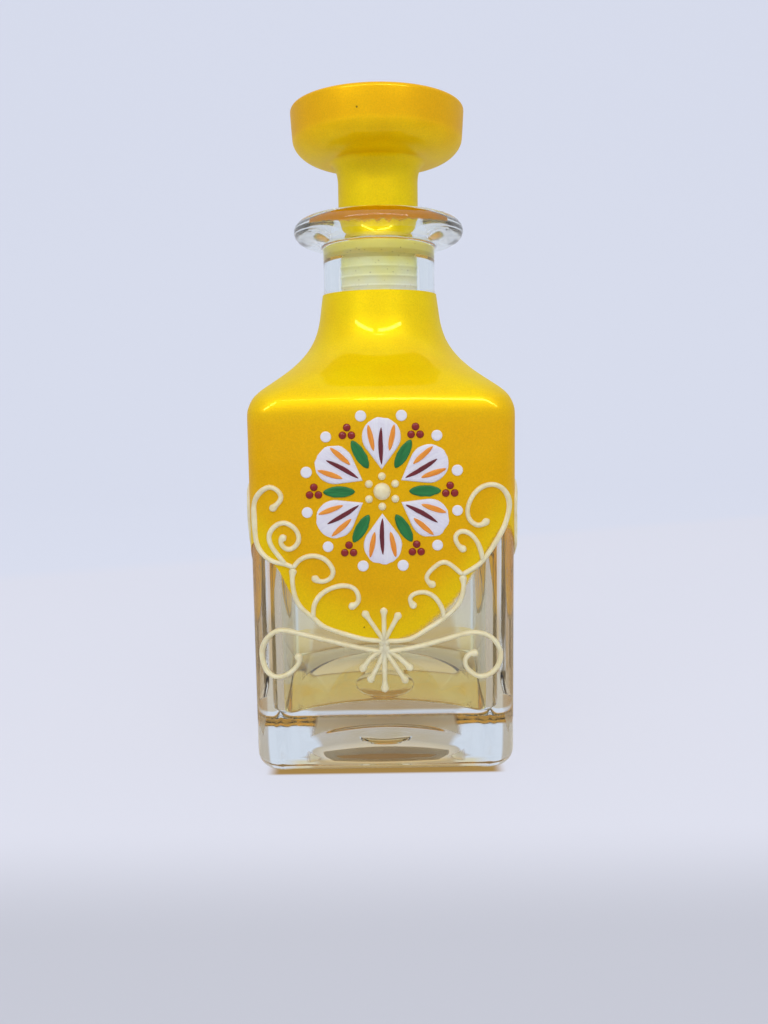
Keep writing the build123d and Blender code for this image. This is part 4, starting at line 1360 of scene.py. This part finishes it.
def paper_floor(colours):
    """A sheet that lies flat, curves up behind the decanter and goes on upright. All lengths in metres."""
    front, bend, bend_radius, rise, half_width = -1.2, 0.7, 0.5, 1.5, 2.0
    bm = bmesh.new()
    ends = [bm.verts.new((x, front, -0.1 * MM)) for x in (-half_width, half_width)]
    verts, edges = extruded(bm, [bm.edges.new(ends)])
    bmesh.ops.translate(bm, vec=(0, bend - front, 0), verts=verts)
    curve = bmesh.ops.spin(
        bm, geom=edges, cent=(0, bend, bend_radius), axis=(1, 0, 0), angle=math.pi / 2, steps=24,
        use_merge=False,
    )["geom_last"]
    verts, _ = extruded(bm, [item for item in curve if isinstance(item, bmesh.types.BMEdge)])
    bmesh.ops.translate(bm, vec=(0, 0, rise), verts=verts)
    for face in bm.faces:
        face.smooth = True
    mesh = bpy.data.meshes.new("paper_floor")
    bm.to_mesh(mesh)
    bm.free()
    mesh.materials.append(paper_finish(colours))
    floor = bpy.data.objects.new("paper_floor", mesh)
    bpy.context.scene.collection.objects.link(floor)


def hang_lamp(name, azimuth, elevation, distance, width, height, power, tilt):
    """A soft lamp that points at the decanter's middle."""
    data = bpy.data.lights.new(name, "AREA")
    data.shape, data.size, data.size_y, data.energy = "RECTANGLE", width, height, power
    lamp = bpy.data.objects.new(name, data)
    lamp.visible_transmission = False
    turn, rise = math.radians(azimuth), math.radians(elevation)
    away = Vector((math.sin(turn) * math.cos(rise), -math.cos(turn) * math.cos(rise), math.sin(rise)))
    spot = Vector((0, 0, 0.1)) + distance * away
    lamp.matrix_world = (
        Matrix.Translation(spot) @ away.to_track_quat("Z", "Y").to_matrix().to_4x4()
        @ Matrix.Rotation(math.radians(tilt), 4, "Z")
    )
    bpy.context.scene.collection.objects.link(lamp)


def photo_camera():
    """The camera at the place and with the lens of the photograph."""
    height, focal_length, pitch, roll = 36.0, 32.17, 7.16, -0.83
    lens = bpy.data.cameras.new("Photo view")
    lens.sensor_fit = "VERTICAL"
    lens.sensor_height = height
    lens.lens = focal_length
    lens.clip_start = 0.01
    camera = bpy.data.objects.new("Photo view", lens)
    camera.matrix_world = (
        Matrix.Translation((0.0004, -0.255, 0.0948))
        @ Euler((math.radians(90 - pitch), 0, 0)).to_matrix().to_4x4()
        @ Matrix.Rotation(math.radians(roll), 4, "Z")
    )
    bpy.context.scene.collection.objects.link(camera)
    return camera


class DECANTER_OT_stage(bpy.types.Operator):
    """Set the paper floor, the soft lamps, the camera and the view settings"""
    bl_idname = "decanter.stage"
    bl_label = "Stage"
    bl_options = {"REGISTER", "UNDO"}

    def execute(self, context):
        scene, colours = context.scene, context.scene.decanter_colours
        paper_floor(colours)
        scene.world = bpy.data.worlds.new("Soft room")
        scene.world.use_nodes = True
        room = Nodes(scene.world.node_tree)
        light = room.ramp(room.background_rays(), 0.0, 1.0, low=0.64, high=0.9)
        room.set_inputs(room.tree.nodes["Background"], {"Color": colours.room, "Strength": light})
        for lamp in LAMPS:
            hang_lamp(*lamp)
        scene.camera = photo_camera()
        scene.view_settings.view_transform = "Standard"
        return {"FINISHED"}


class DECANTER_PT_sidebar(bpy.types.Panel):
    """Lists the steps that build the decanter"""
    bl_idname = "DECANTER_PT_sidebar"
    bl_label = "Decanter"
    bl_space_type = "VIEW_3D"
    bl_region_type = "UI"
    bl_category = "Decanter"

    def draw(self, context):
        layout = self.layout
        for operator in OPERATORS:
            layout.operator(operator.bl_idname)
        for name in GROUPS:
            box = layout.box()
            settings = getattr(context.scene, name)
            for key in settings.bl_rna.properties.keys():
                if key not in ("rna_type", "name"):
                    box.prop(settings, key)


OPERATORS = (
    DECANTER_OT_bottle_glass, DECANTER_OT_bottle_lacquer, DECANTER_OT_stopper_glass,
    DECANTER_OT_stopper_lacquer, DECANTER_OT_stopper_sleeve, DECANTER_OT_piped_relief, DECANTER_OT_rosette,
    DECANTER_OT_stage,
)
GROUPS = {
    "decanter_sizes": DecanterSizes, "decanter_relief": ReliefSizes, "decanter_colours": DecanterColours,
}


def register():
    for name, group in GROUPS.items():
        bpy.utils.register_class(group)
        setattr(bpy.types.Scene, name, bpy.props.PointerProperty(type=group))
    for item in (*OPERATORS, DECANTER_PT_sidebar):
        bpy.utils.register_class(item)


def unregister():
    for item in (DECANTER_PT_sidebar, *reversed(OPERATORS)):
        bpy.utils.unregister_class(item)
    for name, group in GROUPS.items():
        delattr(bpy.types.Scene, name)
        bpy.utils.unregister_class(group)


def main():
    register()
    for operator in OPERATORS:
        group, name = operator.bl_idname.split(".")
        getattr(getattr(bpy.ops, group), name)()


if __name__ == "__main__":
    main()
